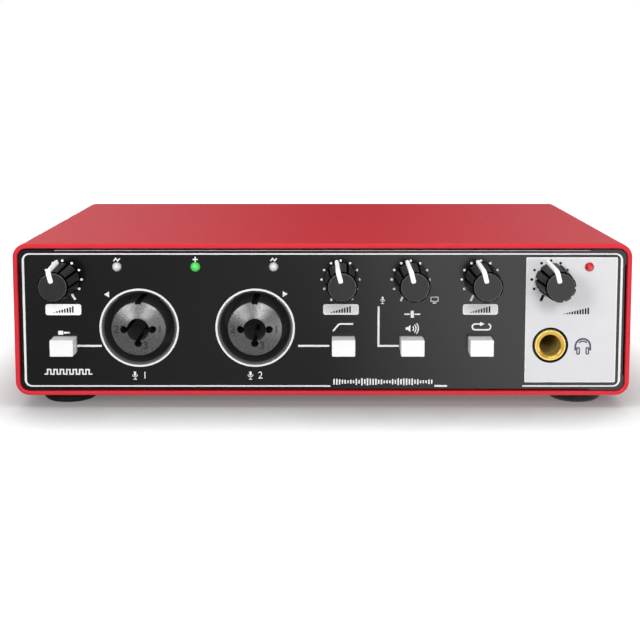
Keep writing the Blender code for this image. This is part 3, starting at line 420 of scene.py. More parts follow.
# Brighter brass on the ring's outer rim: painted highlight.
brushed("brass_rim_highlight", (0.84, 0.68, 0.20), (0.95, 0.80, 0.30), (0.25, 0.35), (1, 1, 0.2), 0.3)
moulded("white_ink", 0.87, 0.91, (0.45, 0.55), relief=0.002)
# Ink that glows, lifting marks that lie in a knob's shadow: painted light.
moulded("glowing_ink", 0.87, 0.91, (0.45, 0.55), relief=0.002, Emission_Strength=0.3)
moulded("black_ink", 0.004, 0.006, (0.5, 0.6), relief=0.002, Specular_IOR_Level=0.05)
moulded("slate_ink", (0.03, 0.035, 0.065), (0.04, 0.045, 0.08), (0.45, 0.55), relief=0.002)
moulded("pale_ink", (0.74, 0.735, 0.76), (0.76, 0.755, 0.78), (0.4, 0.5), relief=0.003)

for entry in frame["record"]["subparts"]:
    node = frame["nodes"][entry["node"]]
    node.data.materials.clear()
    node.data.materials.append(MATERIALS[entry["material_slot"]])


# Outlines in (u, v)

def polar(radius, degrees, centre=(0, 0)):
    """A point at a distance and an angle from a centre."""
    turn = math.radians(degrees)
    return centre[0] + radius * math.cos(turn), centre[1] + radius * math.sin(turn)


def arc(centre, radius, start, end, steps):
    """Points along part of a circle, with angles in degrees."""
    return [polar(radius, start + (end - start) * step / steps, centre) for step in range(steps + 1)]


def disc(centre, radius, sides=ROUND_SIDES):
    """A closed round outline."""
    return arc(centre, radius, 0, 360, sides)[:-1]


def rounded(left, low, right, high, radius, steps=CORNER_STEPS):
    """A rectangle with round corners, from the lower right corner round to the lower left."""
    return (arc((right - radius, low + radius), radius, -90, 0, steps)
            + arc((right - radius, high - radius), radius, 0, 90, steps)
            + arc((left + radius, high - radius), radius, 90, 180, steps)
            + arc((left + radius, low + radius), radius, 180, 270, steps))


def centred(half_width, half_height, radius, centre=(0, 0), steps=CORNER_STEPS):
    """A rectangle with round corners about a centre."""
    u, v = centre
    return rounded(u - half_width, v - half_height, u + half_width, v + half_height, radius, steps)


def stroke(points, width):
    """The outline of a line of one width through the points, with mitred corners."""
    left, right = [], []
    for place, (u, v) in enumerate(points):
        headings = []
        for start, end in zip(points[max(place - 1, 0):], points[max(place - 1, 0) + 1:place + 2]):
            length = math.dist(start, end)
            headings.append((-(end[1] - start[1]) / length, (end[0] - start[0]) / length))
        across = (sum(h[0] for h in headings), sum(h[1] for h in headings))
        scale = width / (across[0] * headings[0][0] + across[1] * headings[0][1]) / 2
        left.append((u + across[0] * scale, v + across[1] * scale))
        right.append((u - across[0] * scale, v - across[1] * scale))
    return [left + right[::-1]]


def moved(points, u, v, scale=1.0):
    """Points moved to a place, and scaled."""
    return [(u + a * scale, v + b * scale) for a, b in points]


# Solids, as bmeshes in millimetres

def loft(rings, closed=False):
    """A skin through rings of the same number of points, capped unless it closes on itself."""
    shape = bmesh.new()
    verts = [[shape.verts.new(point) for point in ring] for ring in rings]
    pairs = list(zip(verts, verts[1:]))
    if closed:
        pairs.append((verts[-1], verts[0]))
    else:
        shape.faces.new(verts[0])
        shape.faces.new(verts[-1])
    for ring, after in pairs:
        for place in range(len(ring)):
            beside = (place + 1) % len(ring)
            shape.faces.new((ring[place], ring[beside], after[beside], after[place]))
    bmesh.ops.recalc_face_normals(shape, faces=shape.faces)
    return shape


def lifted(outline, w):
    """An outline's points at one w."""
    return [(u, v, w) for u, v in outline]


def prism(outline, back, front):
    """An outline given a thickness along w."""
    return loft([lifted(outline, w) for w in (back, front)])


def turned(profile, sides=ROUND_SIDES, closed=False):
    """A profile of (radius, w) points spun about the axis."""
    return loft([lifted(disc((0, 0), radius, sides), w) for radius, w in profile], closed)


def rod(radius, back, front, centre=(0, 0), sides=ROUND_SIDES):
    """A round bar along w."""
    return prism(disc(centre, radius, sides), back, front)


def screw_hole(low, high, u, w):
    """A tool for a foot screw's hole, along v."""
    ring = disc((u, w), SCREW_HOLE, SCREW_SIDES)
    return loft([[(a, v, b) for a, b in ring] for v in (low, high)])


def block(low, high):
    """A box between two corners."""
    outline = [(high[0], low[1]), (high[0], high[1]), (low[0], high[1]), (low[0], low[1])]
    return prism(outline, low[2], high[2])


def fillet(radius, height):
    """The (inset, w) points of a rounded front edge."""
    return arc((radius, height - radius), radius, 180, 90, 5)


def shown(name, data):
    """An object in the scene."""
    made = bpy.data.objects.new(name, data)
    bpy.context.scene.collection.objects.link(made)
    return made


def meshed(name, shape):
    """A mesh that takes the place of a bmesh."""
    mesh = bpy.data.meshes.new(name)
    shape.to_mesh(mesh)
    shape.free()
    return mesh


def workpiece(shape):
    """A temporary object that holds a solid."""
    return shown("workpiece", meshed("workpiece", shape))


def settled(item):
    """The bmesh of a temporary object with its modifiers applied."""
    bpy.context.view_layer.update()
    graph = bpy.context.evaluated_depsgraph_get()
    mesh = bpy.data.meshes.new_from_object(item.evaluated_get(graph))
    shape = bmesh.new()
    shape.from_mesh(mesh)
    bpy.data.meshes.remove(mesh)
    bpy.data.objects.remove(item)
    return shape


def carved(shape, cuts=(), joins=(), keeps=(), edge=0.0):
    """A solid trimmed to others, joined to others and cut by others, with its sharp edges bevelled."""
    item = workpiece(shape)
    tools = []
    for operation, solids in (('INTERSECT', keeps), ('UNION', joins), ('DIFFERENCE', cuts)):
        for solid in solids:
            tools.append(workpiece(solid))
            step = item.modifiers.new("Boolean", 'BOOLEAN')
            step.operation = operation
            step.object = tools[-1]
    if edge:
        soften = item.modifiers.new("Bevel", 'BEVEL')
        soften.width = edge
        soften.segments = 2
        soften.limit_method = 'ANGLE'
        soften.angle_limit = SHARP_ANGLE
    made = settled(item)
    for tool in tools:
        bpy.data.objects.remove(tool)
    return made


def merged(*shapes):
    """Several solids in one bmesh."""
    made = bmesh.new()
    for shape in shapes:
        mesh = meshed("merged", shape)
        made.from_mesh(mesh)
        bpy.data.meshes.remove(mesh)
    return made


def piece(name, shape, slot, place=FRONT, at=(0, 0), body="case", nodes=(), turn=0.0, paint=None,
          others=(), choose=None):
    """A finished piece that rides on a body and stands for CAD nodes. A face takes one of the other
    materials where choose, given the face's middle and normal, says its number."""
    if choose:
        for face in shape.faces:
            face.material_index = int(choose(face.calc_center_median(), face.normal))
    mesh = meshed(name, shape)
    for material in (paint or slot, *others):
        mesh.materials.append(MATERIALS[material])
    mesh.transform(Matrix.Scale(MM, 4))
    mesh.shade_smooth()
    mesh.set_sharp_from_angle(angle=SHARP_ANGLE)
    made = shown(name, mesh)
    shading = made.modifiers.new("Flat faces", 'WEIGHTED_NORMAL')
    shading.keep_sharp = True
    offset = Matrix.Translation((at[0] * MM, at[1] * MM, 0))
    made.matrix_world = place @ offset @ Matrix.Rotation(turn, 4, 'Z')
    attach(made, body)
    if nodes:
        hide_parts(*nodes)


def off_axis(point):
    """How far a point lies from the axis along w."""
    return math.hypot(point.x, point.y)


# Case

def make_sleeve():
    """The red sleeve, with rounded edges at both ends, board grooves and screw holes."""
    bend = fillet(MOUTH_EDGE, CASE_FRONT)
    section = [(inset, w, MIDDLE) for inset, w in bend]
    section += [(WALL - inset, w, OPENING_MIDDLE) for inset, w in bend[::-1]]
    section += [(inset, CASE_FRONT + CASE_BACK - w, middle) for inset, w, middle in section[::-1]]
    rings = []
    for inset, w, middle in section:
        outline = centred(HALF_WIDTH - inset, MIDDLE - inset, CORNER_RADIUS - inset, (0, middle))
        rings.append(lifted(outline, w))
    rails = []
    for side in (-1, 1):
        across = sorted((side * (HALF_WIDTH - WALL / 2), side * (HALF_WIDTH - WALL - RAIL_WIDTH)))
        for low in RAIL_LEVELS:
            rails.append(block((across[0], low, CASE_BACK + RAIL_END),
                               (across[1], low + RAIL_THICKNESS, CASE_FRONT - RAIL_END)))
    holes = []
    for name in FEET:
        foot = local(f"foot_{name}")
        holes.append(screw_hole(-1, 2.5, foot.x, foot.z))
    piece("sleeve_shell", carved(loft(rings, True), holes, rails), "red_paint", nodes=["sleeve"])


def panel_outline():
    """The front panel's outline: full at the corners and drawn in along each side."""
    corner = (PANEL_HALF_WIDTH - PANEL_CORNER, PANEL_HALF_HEIGHT - PANEL_CORNER)
    quarter = [(PANEL_HALF_WIDTH - NOTCH, NOTCH_V - NOTCH), (PANEL_HALF_WIDTH, NOTCH_V)]
    quarter += arc(corner, PANEL_CORNER, 0, 90, CORNER_STEPS)
    quarter += [(NOTCH_U, PANEL_HALF_HEIGHT), (NOTCH_U - NOTCH, PANEL_HALF_HEIGHT - NOTCH)]
    upper = quarter + [(-u, v) for u, v in quarter[::-1]]
    return moved(upper + [(-u, -v) for u, v in upper], 0, OPENING_MIDDLE)


def edge_chamfers():
    """Tools that chamfer the front edge along the drawn-in middle of each side of the front panel."""
    trim = NOTCH + NOTCH_CHAMFER
    sides = ((PANEL_HALF_HEIGHT - NOTCH, NOTCH_U - trim), (PANEL_HALF_WIDTH - NOTCH, NOTCH_V - trim))
    reach = PANEL_THICKNESS
    tools = []
    for quarter in range(4):
        edge, half = sides[quarter % 2]
        shape = bmesh.new()
        for out, length in ((-NOTCH_CHAMFER, half), (reach, half + NOTCH_CHAMFER + reach)):
            for along in (-reach, reach):
                for side in (-1, 1):
                    shape.verts.new((side * length, edge + (out + along) / 2, (out - along) / 2))
        bmesh.ops.convex_hull(shape, input=shape.verts)
        turn = Matrix.Rotation(math.radians(90 * quarter), 3, 'Z')
        bmesh.ops.rotate(shape, matrix=turn, verts=shape.verts)
        bmesh.ops.translate(shape, vec=(0, OPENING_MIDDLE, 0), verts=shape.verts)
        tools.append(shape)
    return tools


def window(centre, back, front):
    """A button's opening in a panel."""
    outline = centred(BUTTON_HALF_WIDTH + FIT, BUTTON_HALF_HEIGHT + FIT, BUTTON_CORNER, centre, 4)
    return prism(outline, back, front)


def panel_shape(outline, thickness, holes, edge, trims=()):
    """A panel with its holes, and with a flange along the sleeve's floor for two screws."""
    across = FLANGE_SCREW_U + FLANGE_MARGIN
    flange = block((-across, FLANGE_BASE, -FLANGE_SCREW_DEPTH - FLANGE_MARGIN),
                   (across, FLANGE_BASE + thickness, -thickness / 2))
    screws = [screw_hole(1, 5, u, -FLANGE_SCREW_DEPTH) for u in (-FLANGE_SCREW_U, FLANGE_SCREW_U)]
    return carved(prism(outline, -thickness, 0), [*holes, *screws, *trims], [flange], edge=edge)


def panel_finish(centre, normal):
    """The chamfer along the front panel's top edge is painted pale grey: a painted highlight."""
    return abs(normal.z - 0.7) < 0.1 and centre.y > CASE_HEIGHT - 3


def make_front_panel():
    """The black front panel, with a hole for each control, lamp and socket."""
    low, high = -2 * PANEL_THICKNESS, PANEL_THICKNESS
    holes = [rod(KNOB_HOLE, low, high, place, MEDIUM_SIDES) for place in KNOBS.values()]
    holes += [rod(LAMP_HOLE, low, high, place, SMALL_SIDES) for place in LAMPS.values()]
    holes += [rod(INPUT_HOLE, low, high, place, FINE_SIDES) for place in INPUTS.values()]
    holes += [window(place, low, high) for place in BUTTONS.values()]
    holes.append(rod(PHONES_HOLE, low, high, PHONES_JACK))
    plate = panel_shape(panel_outline(), PANEL_THICKNESS, holes, 0.06, edge_chamfers())
    piece("front_plate", plate, "front_panel_black", nodes=["front_panel"], others=["panel_edge_highlight"],
          choose=panel_finish)


def make_rear_panel():
    """The black rear panel, with its sockets' holes."""
    low, high = -2 * REAR_THICKNESS, REAR_THICKNESS
    outline = centred(PANEL_HALF_WIDTH, PANEL_HALF_HEIGHT, PANEL_CORNER, (0, OPENING_MIDDLE))
    holes = [rod(LINE_HOLE, low, high, place) for place in LINE_OUTPUTS.values()]
    holes.append(window(PHANTOM, low, high))
    usb_hole = centred(USB_HALF_WIDTH + FIT, USB_HALF_HEIGHT + FIT, USB_CORNER + FIT, USB, 8)
    holes.append(prism(usb_hole, low, high))
    plate = panel_shape(outline, REAR_THICKNESS, holes, 0.1)
    piece("rear_plate", plate, "rear_panel_black", REAR, nodes=["rear_panel"])


# Printed marks. A mark is a list of shapes, and a shape a list of outlines of which later ones are holes

def filled(curve):
    """The solid of a filled curve."""
    shape = settled(shown("mark", curve))
    bmesh.ops.remove_doubles(shape, verts=shape.verts, dist=0.0001)
    return shape


def inked(name, shapes, ink, height, place=FRONT):
    """Thin solids printed on a panel, from shapes that don't overlap."""
    curve = bpy.data.curves.new(name, 'CURVE')
    curve.dimensions = '2D'
    curve.fill_mode = 'BOTH'
    curve.extrude = height
    for loop in [loop for loops in shapes for loop in loops]:
        spline = curve.splines.new('POLY')
        spline.points.add(len(loop) - 1)
        for point, (u, v) in zip(spline.points, loop):
            point.co = (u, v, 0, 1)
        spline.use_cyclic_u = True
    piece(name, filled(curve), None, place, paint=ink)


def numeral(figure, centre, height, depth):
    """A plain number as a thin solid."""
    curve = bpy.data.curves.new("numeral", 'FONT')
    curve.body = figure
    curve.align_x = 'CENTER'
    curve.align_y = 'CENTER'
    curve.size = height
    curve.extrude = depth
    shape = filled(curve)
    bmesh.ops.translate(shape, vec=(*centre, 0), verts=shape.verts)
    return shape


def border():
    """The white line round the front panel, open along the bottom for a row of marks."""
    def edge(across, low, high, radius):
        return [(BORDER_GAP[1], low)] + rounded(-across, low, across, high, radius) + [(BORDER_GAP[0], low)]
    return [edge(*BORDER_OUTER) + edge(*BORDER_INNER)[::-1]]


def dial(name, dot=0.375, tick=0.66):
    """The dots and the two end ticks round a knob."""
    def spot(angle, radius):
        return polar(radius, 90 - angle, (DIAL_U[name], KNOBS[name][1]))
    shapes = [[disc(spot(angle, DIAL_RADIUS), dot, 20)] for angle in range(-120, 121, 30)]
    return shapes + [stroke([spot(angle, radius) for radius in TICK_RADII], tick) for angle in TICK_ANGLES]


def rising_bars(left, low, count):
    """A row of bars that grow to the right, for a level."""
    shapes = []
    for n in range(count):
        start = left + BAR_PITCH * n
        shapes.append([rounded(start, low, start + BAR_WIDTH, low + BAR_HEIGHT * (n + 1) / count, 0.05, 2)])
    return shapes


def sound_bars(left, right, middle, count, tallest):
    """A row of upright bars shaped like a recorded sound."""
    pitch = (right - left) / count
    shapes = []
    for n in range(count):
        swell = 0.35 + 0.65 * abs(math.sin(1.7 * n + 0.6) * math.cos(0.23 * n + 0.4))
        half = tallest * swell / 2
        start = left + pitch * n
        shapes.append([rounded(start, middle - half, start + 0.55 * pitch, middle + half, 0.1, 3)])
    return shapes


def pulse_line(left, right, low, high, count):
    """A square wave, for a digital signal."""
    pitch = (right - left) / count
    points = []
    for n in range(count):
        level = (low, high)[n % 2]
        points += [(left + pitch * n, level), (left + pitch * (n + 1), level)]
    return stroke(points, 0.42)


# Pictograms, each about its own middle
SIGNS = {
    "microphone": [[rounded(-0.42, -0.1, 0.42, 1.5, 0.42, 8)],
                   stroke(arc((0, 0.35), 0.85, 180, 360, 14), 0.26),
                   stroke([(0, -0.75), (0, -1.2)], 0.26),
                   stroke([(-0.6, -1.35), (0.6, -1.35)], 0.3)],
    "screen": [[rounded(-1.6, -0.6, 1.6, 1.4, 0.2, 4), rounded(-1.3, -0.3, 1.3, 1.1, 0.1, 4)],
               stroke([(-0.8, -1.15), (0.8, -1.15)], 0.4)],
    "speaker": [[[(-2.2, -0.45), (-1.5, -0.45), (-0.6, -1.2), (-0.6, 1.2), (-1.5, 0.45), (-2.2, 0.45)]],
                *[stroke(arc((-0.6, 0), radius, -42, 42, 10), 0.36) for radius in (1.1, 1.9, 2.7)]],
    "fader": [[rounded(-0.5, -1.1, 0.5, 1.1, 0.15, 4)],
              stroke([(-2.4, 0), (-0.75, 0)], 0.45),
              stroke([(0.75, 0), (2.4, 0)], 0.45)],
    "low_cut": [stroke([(-2.9, -1.3)] + arc((-0.6, -0.1), 1.0, 145, 90, 8) + [(3.2, 0.9)], 0.48)],
    "loop": [stroke(arc((1.8, 0), 0.85, 78, -90, 14) + arc((-1.8, 0), 0.85, 270, 90, 14)
                    + [(-0.4, 0.85)], 0.42),
             [[(-0.4, 1.5), (0.9, 0.85), (-0.4, 0.2)]]],
    "jack_plug": [[rounded(-2.2, -0.7, -0.4, 0.7, 0.2, 4)],
                  [rounded(-0.2, -0.34, 1.2, 0.34, 0.05, 3)],
                  [[(1.4, -0.4), (2.2, 0), (1.4, 0.4)]]],
    "headphones": [stroke([(-2.28, -0.95)] + arc((0, 0.35), 2.25, 184, -4, 28) + [(2.28, -0.95)], 0.58),
                   stroke(arc((0, 0.35), 1.55, 140, 40, 12), 0.42),
                   *[[centred(0.57, 1.2, 0.52, (u, -1.1), 6), centred(0.17, 0.76, 0.16, (u, -1.1), 6)]
                     for u in (-1.4, 1.4)]],
    "left_arrow": [[[(0, -0.9), (-1.5, 0), (0, 0.9)]]],
    "right_arrow": [[[(0, -0.9), (1.5, 0), (0, 0.9)]]],
    "zigzag": [stroke([(-0.95, -0.4), (-0.3, 0.4), (0.3, -0.4), (0.95, 0.4)], 0.35)],
    "plus": [[[(0.8, -0.2), (0.8, 0.2), (0.2, 0.2), (0.2, 0.8), (-0.2, 0.8), (-0.2, 0.2), (-0.8, 0.2),
               (-0.8, -0.2), (-0.2, -0.2), (-0.2, -0.8), (0.2, -0.8), (0.2, -0.2)]]],
    "large_plus": [stroke([(-1.2, 0), (1.2, 0)], 0.5),
                   stroke([(0, 0.3), (0, 1.2)], 0.5),
                   stroke([(0, -1.2), (0, -0.3)], 0.5)],
}


def sign(name, u, v, scale=1.0):
    """A pictogram moved to a place, and scaled."""
    return [[moved(loop, u, v, scale) for loop in loops] for loops in SIGNS[name]]


def white_lines():
    """The border, rings, dials and lines in white on the front panel."""
    shapes = [border(), [rounded(34.16, 2.53, 37.97, 3.10, 0.02, 2)]]
    for name in ("gain_2", "mix", "output"):
        shapes += dial(name)
    for place in INPUTS.values():
        shapes.append([disc(place, radius, FINE_SIDES) for radius in INPUT_LINE])
    for path in ([(-74.5, LINK_V), (-67.0, LINK_V)], [(-7.35, LINK_V), (2.1, LINK_V)],
                 [(17.0, 27.4), (17.0, LINK_V), (23.2, LINK_V)]):
        shapes.append(stroke(path, LINK_WIDTH))
    shapes += sound_bars(left=3.3, right=33.9, middle=4.1, count=36, tallest=2.5)
    shapes.append(pulse_line(left=-84.6, right=-70.0, low=6.5, high=7.9, count=15))
    return shapes


def white_signs():
    """The pictograms in white on the front panel."""
    shapes = sign("plus", LAMPS["phantom_lamp"][0], PLUS_V)
    for name in ("peak_1_lamp", "peak_2_lamp"):
        shapes += sign("zigzag", LAMPS[name][0], LAMP_MARK_V)
    for place in INPUTS.values():
        shapes += sign("microphone", place[0] - INPUT_MARK_OFFSET, INPUT_MARK_V, 0.85)
    for name, u, v, scale in (("left_arrow", -64.5, 31.1, 1.0), ("right_arrow", -12.0, 31.2, 1.0),
                              ("jack_plug", -78.25, 19.3, 0.85), ("low_cut", 6.1, 21.1, 1.0),
                              ("fader", 27.2, 25.0, 1.0), ("speaker", 27.2, 20.6, 0.9),
                              ("loop", 48.2, 21.1, 1.05), ("microphone", 18.2, 29.3, 0.75),
                              ("screen", 33.9, 29.3, 0.75)):
        shapes += sign(name, u, v, scale)
    return shapes


def within(box, radius, steps):
    """The inner outline of a box with a frame."""
    left, low, right, high = box
    line = FRAME_LINE
    return rounded(left + line, low + line, right - line, high - line, radius, steps)


def make_front_marks():
    """Everything that is printed on the front panel."""
    # The gain_1 dial and label glow, to lift them out of the knob's shadow: painted light.
    bright = dial("gain_1") + [[rounded(*GAIN_1_LABEL, 0.7, 6)]]
    inked("gain_1_marks", bright, "glowing_ink", INK)
    white = white_lines() + white_signs()
    pale = []
    for box in LABELS:
        pale.append([within(box, 0.45, 6)])
        white.append([rounded(*box, 0.7, 6)] + pale[-1])
    inside = within(ZONE, 0.2, 4)
    white.append([rounded(*ZONE, 0.35, 4), inside])
    inked("front_marks_white", white, "white_ink", INK)
    pale.append([inside, disc(PHONES_JACK, PHONES_LINE[0] - 0.04), disc(KNOBS["phones"], KNOB_HOLE + 0.06),
                 disc(LAMPS["power_lamp"], POWER_LAMP_RADIUS + 0.06, SMALL_SIDES)])
    inked("headphone_zone", pale, "pale_ink", INK)
    inked("headphone_sign", sign("headphones", 79.05, 14.8), "slate_ink", TOP_INK)
    black = dial("phones", 0.43, 0.85) + [[disc(PHONES_JACK, radius) for radius in PHONES_LINE]]
    black += rising_bars(73.0, 25.0, 10)
    for left in (-81.4, 2.5, 44.7):
        black += rising_bars(left, 25.45, 8)
    inked("front_marks_black", black, "black_ink", TOP_INK)
    figures = [numeral(figure, (place[0] + INPUT_MARK_OFFSET, INPUT_MARK_V), 3.1, INK)
               for figure, place in zip("12", INPUTS.values())]
    piece("input_numbers", merged(*figures), None, paint="white_ink")


def make_rear_marks():
    """Plain numbers and signs printed on the rear panel."""
    figures = [numeral(figure, (place[0], place[1] + 9.2), 4.0, INK)
               for figure, place in zip("12", LINE_OUTPUTS.values())]
    piece("line_numbers", merged(*figures), None, REAR, paint="white_ink")
    shapes = sign("large_plus", PHANTOM[0], PHANTOM[1] + 5.6) + sign("screen", USB[0], USB[1] + 6.0)
    inked("rear_marks", shapes, "white_ink", INK, REAR)


# Knobs

def knob_ring(radius, floor, w):
    """One ring of a knob's side, with nine grooves and a plain place for the pointer."""
    points = []
    for sector in range(KNOB_SECTORS):
        for across in KNOB_STATIONS:
            turn = 360 * sector / KNOB_SECTORS + 90 + math.degrees(across / KNOB_RADIUS)
            into = (GROOVE_HALF + GROOVE_EDGE - abs(across)) / (2 * GROOVE_EDGE)
            depth = 0 if sector == 0 else max(0.0, min(1.0, into))
            reach = min(radius, floor + (1 - depth) * GROOVE_DEPTH) if depth else radius
            points.append((*polar(reach, turn), w))
    return points


def bore_ring(w):
    """One ring of a knob's hole, which is flat on one side."""
    points = []
    for u, v, _ in knob_ring(1.0, 1.0, w):
        reach = min(KNOB_BORE, KNOB_BORE_FLAT / max(0.1, -v))
        points.append((reach * u, reach * v, w))
    return points


def knob_side(w):
    """The radius of a knob's tapered side."""
    return KNOB_BASE_RADIUS + (KNOB_RADIUS - KNOB_BASE_RADIUS) * (w - KNOB_FOOT) / KNOB_TAPER


def knob_shape():
    """A fluted knob with a bevelled rim."""
    profile = [(4.95, KNOB_FOOT), (5.12, 0.86)]
    profile += [(knob_side(w), w) for w in (1.0, 4.0, 8.0, KNOB_SIDE_END)]
    profile += [(4.49, 12.98), (4.10, 13.42), (4.03, 13.48)]
    profile += [(radius, KNOB_FRONT) for radius in (3.95, 3.7, 1.2)]
    rings = [bore_ring(KNOB_BORE_END), bore_ring(KNOB_FOOT)]
    for radius, w in profile:
        rings.append(knob_ring(radius, knob_side(min(w, KNOB_SIDE_END)) - GROOVE_DEPTH, w))
    return loft(rings)


def pointer_shape():
    """A white ridge along a knob's face, over its rim and down its side."""
    path = [(1.24, KNOB_FRONT, 90, 0.2), (1.36, KNOB_FRONT, 90, 0.38), (1.54, KNOB_FRONT, 90, 0.46),
            (1.94, KNOB_FRONT, 90, 0.5), (3.7, KNOB_FRONT, 90, 0.5), (3.98, 13.47, 75, 0.56),
            (4.2, 13.28, 50, 0.66), (4.42, 13.02, 30, 0.76), (4.54, 12.7, 8, 0.82), (4.76, 9.0, 3.3, 0.92),
            (5.18, 1.5, 3.3, 1.15), (5.20, 1.15, 3.3, 1.1), (5.21, 0.95, 3.3, 0.95), (5.22, 0.85, 3.3, 0.6)]
    half = [(-1, -0.35), (-1, 0.35), (-0.93, 0.7), (-0.7, 0.92), (-0.35, 1.0)]
    section = half + [(0, 1.0)] + [(-across, lift) for across, lift in half[::-1]]
    rings = []
    for place, (radius, w, tilt, height) in enumerate(path):
        near_end = min(place, len(path) - 1 - place, len(POINTER_HALF_WIDTHS) - 1)
        width = POINTER_HALF_WIDTHS[near_end] * (1 - POINTER_TAPER + POINTER_TAPER * w / KNOB_FRONT)
        out, up = polar(1, tilt)
        rings.append([(across * width, radius + out * lift * height, w + up * lift * height)
                      for across, lift in section])
    return loft(rings)


def knob_finish(centre, normal):
    """A grained face with a painted edge highlight, painted shade on bevel and grooves, smooth sides."""
    if centre.z > KNOB_FRONT - 0.01:
        return 1
    if centre.z > KNOB_FRONT - 0.07:
        return 2
    # Bevel and groove faces get painted shade.
    bevel = centre.z > KNOB_SIDE_END + 0.04 and normal.z > 0.2
    groove = off_axis(centre) < knob_side(centre.z) - 0.15
    return 3 if bevel or groove else 0


def make_knobs():
    """Five knobs and their pointers."""
    for name, place in KNOBS.items():
        piece(f"{name}_cap", knob_shape(), "knob_plastic", at=place, body=name, nodes=[f"{name}_knob"],
              turn=POINTER_ANGLE, others=["knob_face", "knob_edge_highlight", "knob_bevel_and_groove_shade"], choose=knob_finish)
        piece(f"{name}_ridge", pointer_shape(), "pointer_white", at=place, body=name,
              nodes=[f"{name}_pointer"], turn=POINTER_ANGLE)


# Buttons and lamps

def button_shape(front, back, stem):
    """A button with soft edges and a slightly hollow face, and its stem."""
    def ring(inset, w, radius=BUTTON_CORNER):
        outline = centred(BUTTON_HALF_WIDTH - inset, BUTTON_HALF_HEIGHT - inset, radius, steps=5)
        return lifted(outline, w)
    rings = [lifted(centred(STEM_HALF, STEM_HALF, 0.2, steps=5), w) for w in (stem, back)]
    rings += [ring(0.1, back), ring(0, back + 0.1)]
    rings += [ring(inset, w, max(0.15, BUTTON_CORNER - inset)) for inset, w in fillet(BUTTON_EDGE, front)]
    rings += [ring(0.6, front - 0.01, 0.2), ring(1.4, front - 0.05, 0.2), ring(2.2, front - 0.07, 0.15)]
    return loft(rings)


def make_buttons():
    """Four white buttons at the front and one at the back."""
    for name, place in BUTTONS.items():
        piece(f"{name}_key", button_shape(front=4.8, back=-4.5, stem=-12.6), "button_white", at=place,
              body=name, nodes=[f"{name}_button"])
    piece("phantom_key", button_shape(front=3.6, back=-4.1, stem=-12.2), "button_white", REAR, PHANTOM,
          "phantom", ["phantom_button"])


def lamp_shape(radius):
    """A round lamp with a flange and two leads."""
    dome = [polar(radius, angle, (0, LAMP_FRONT - radius)) for angle in (87, 78, 66, 54, 42, 30, 18, 8, 0)]
    flange_edge = [(radius, -2.3), (1.85, -2.32), (1.9, -2.37), (1.9, -3.3)]
    body = turned([(0.02, LAMP_FRONT)] + dome + flange_edge, SMALL_SIDES)
    leads = [prism(centred(0.25, 0.25, 0.05, (u, 0), 2), -9.7, -3.25) for u in (-1.27, 1.27)]
    return merged(body, *leads)


def make_lamps():
    """Four lamps."""
    slots = {"phantom_lamp": "green_lens", "power_lamp": "red_lens"}
    for name, place in LAMPS.items():
        radius = POWER_LAMP_RADIUS if name == "power_lamp" else LAMP_RADIUS
        piece(f"{name}_lens", lamp_shape(radius), slots.get(name, "clear_lens"), at=place, nodes=[name])


# Sockets

def input_shape():
    """An input socket's housing, with a chamfered lip that is open at the top."""
    outline = arc((0, 0), INPUT_RADIUS, 0, 180, MEDIUM_SIDES)
    outline += [(-INPUT_RADIUS, INPUT_BOTTOM), (INPUT_RADIUS, INPUT_BOTTOM)]
    nose = turned([(11.36, -5), (11.36, -0.12), (11.31, -0.03), (11.23, 0), (11.08, 0), (10.75, -0.42),
                   (MOUTH_RADIUS, -0.7), (MOUTH_RADIUS, -5)], FINE_SIDES)
    tail = block((-7, INPUT_BOTTOM, -34), (7, 7, -20))
    cuts = [rod(MOUTH_RADIUS, -18, 4, sides=FINE_SIDES), rod(5.35, -21.3, 0), rod(JACK_BORE, -32.5, 0),
            block((-6.5, 0, -1.8), (6.5, 14, 4))]
    return carved(prism(outline, -22, -2.3), cuts, [nose, tail])


def insert_face(radius):
    """How far an insert's conical face stands out of the panel."""
    return 2.75 - 0.3 * (radius - INSERT_BORE)


def insert_shape():
    """The disc in an input socket: a jack hole, three pin holes and a key slot."""
    face = [(radius, insert_face(radius)) for radius in (8.08, 7.4, 6.6, 5.8, 5.0, 4.2, INSERT_BORE, 1.5)]
    side = [(5.0, -21), (5.0, -17.7), (INSERT_RADIUS, -17.7), (INSERT_RADIUS, 1.2)]
    cuts = [rod(INSERT_BORE, -40, 5)]
    cuts += [rod(PIN_HOLE, -13, 5, place, SMALL_SIDES) for place in PIN_HOLES]
    cuts.append(block((-KEY_HALF, KEY_LOW, -13), (KEY_HALF, 9, 5)))
    return carved(turned(side + face, FINE_SIDES), cuts, edge=0.08)


def on_insert(shape):
    """A flat mark laid on an insert's conical face."""
    for vert in shape.verts:
        vert.co.z += insert_face(off_axis(vert.co))
    return shape


def input_finish(centre, normal):
    """A socket's lip carries a painted highlight, dimmer on its chamfer; its inside a faint painted glow."""
    radius = off_axis(centre)
    if centre.z > LIP_BACK and radius > MOUTH_RADIUS - 0.05:
        return 1 if normal.z > 0.95 or radius > LIP_FLAT_RADIUS else 2
    return 3 if radius < MOUTH_RADIUS + 0.05 else 0


def insert_finish(centre, normal):
    """Speckled face; sides and bore: painted shade, faint glow; holes and key slot: black painted shade."""
    if normal.z > 0.5 and centre.z > 0.9:
        return 0
    small = [math.hypot(centre.x - u, centre.y - v) < PIN_HOLE + 0.08 for u, v in PIN_HOLES]
    keyway = abs(centre.x) < KEY_HALF + 0.05 and centre.y > KEY_LOW - 0.1
    keyway = keyway and off_axis(centre) < INSERT_RADIUS - 0.05
    return 2 if keyway or any(small) else 1


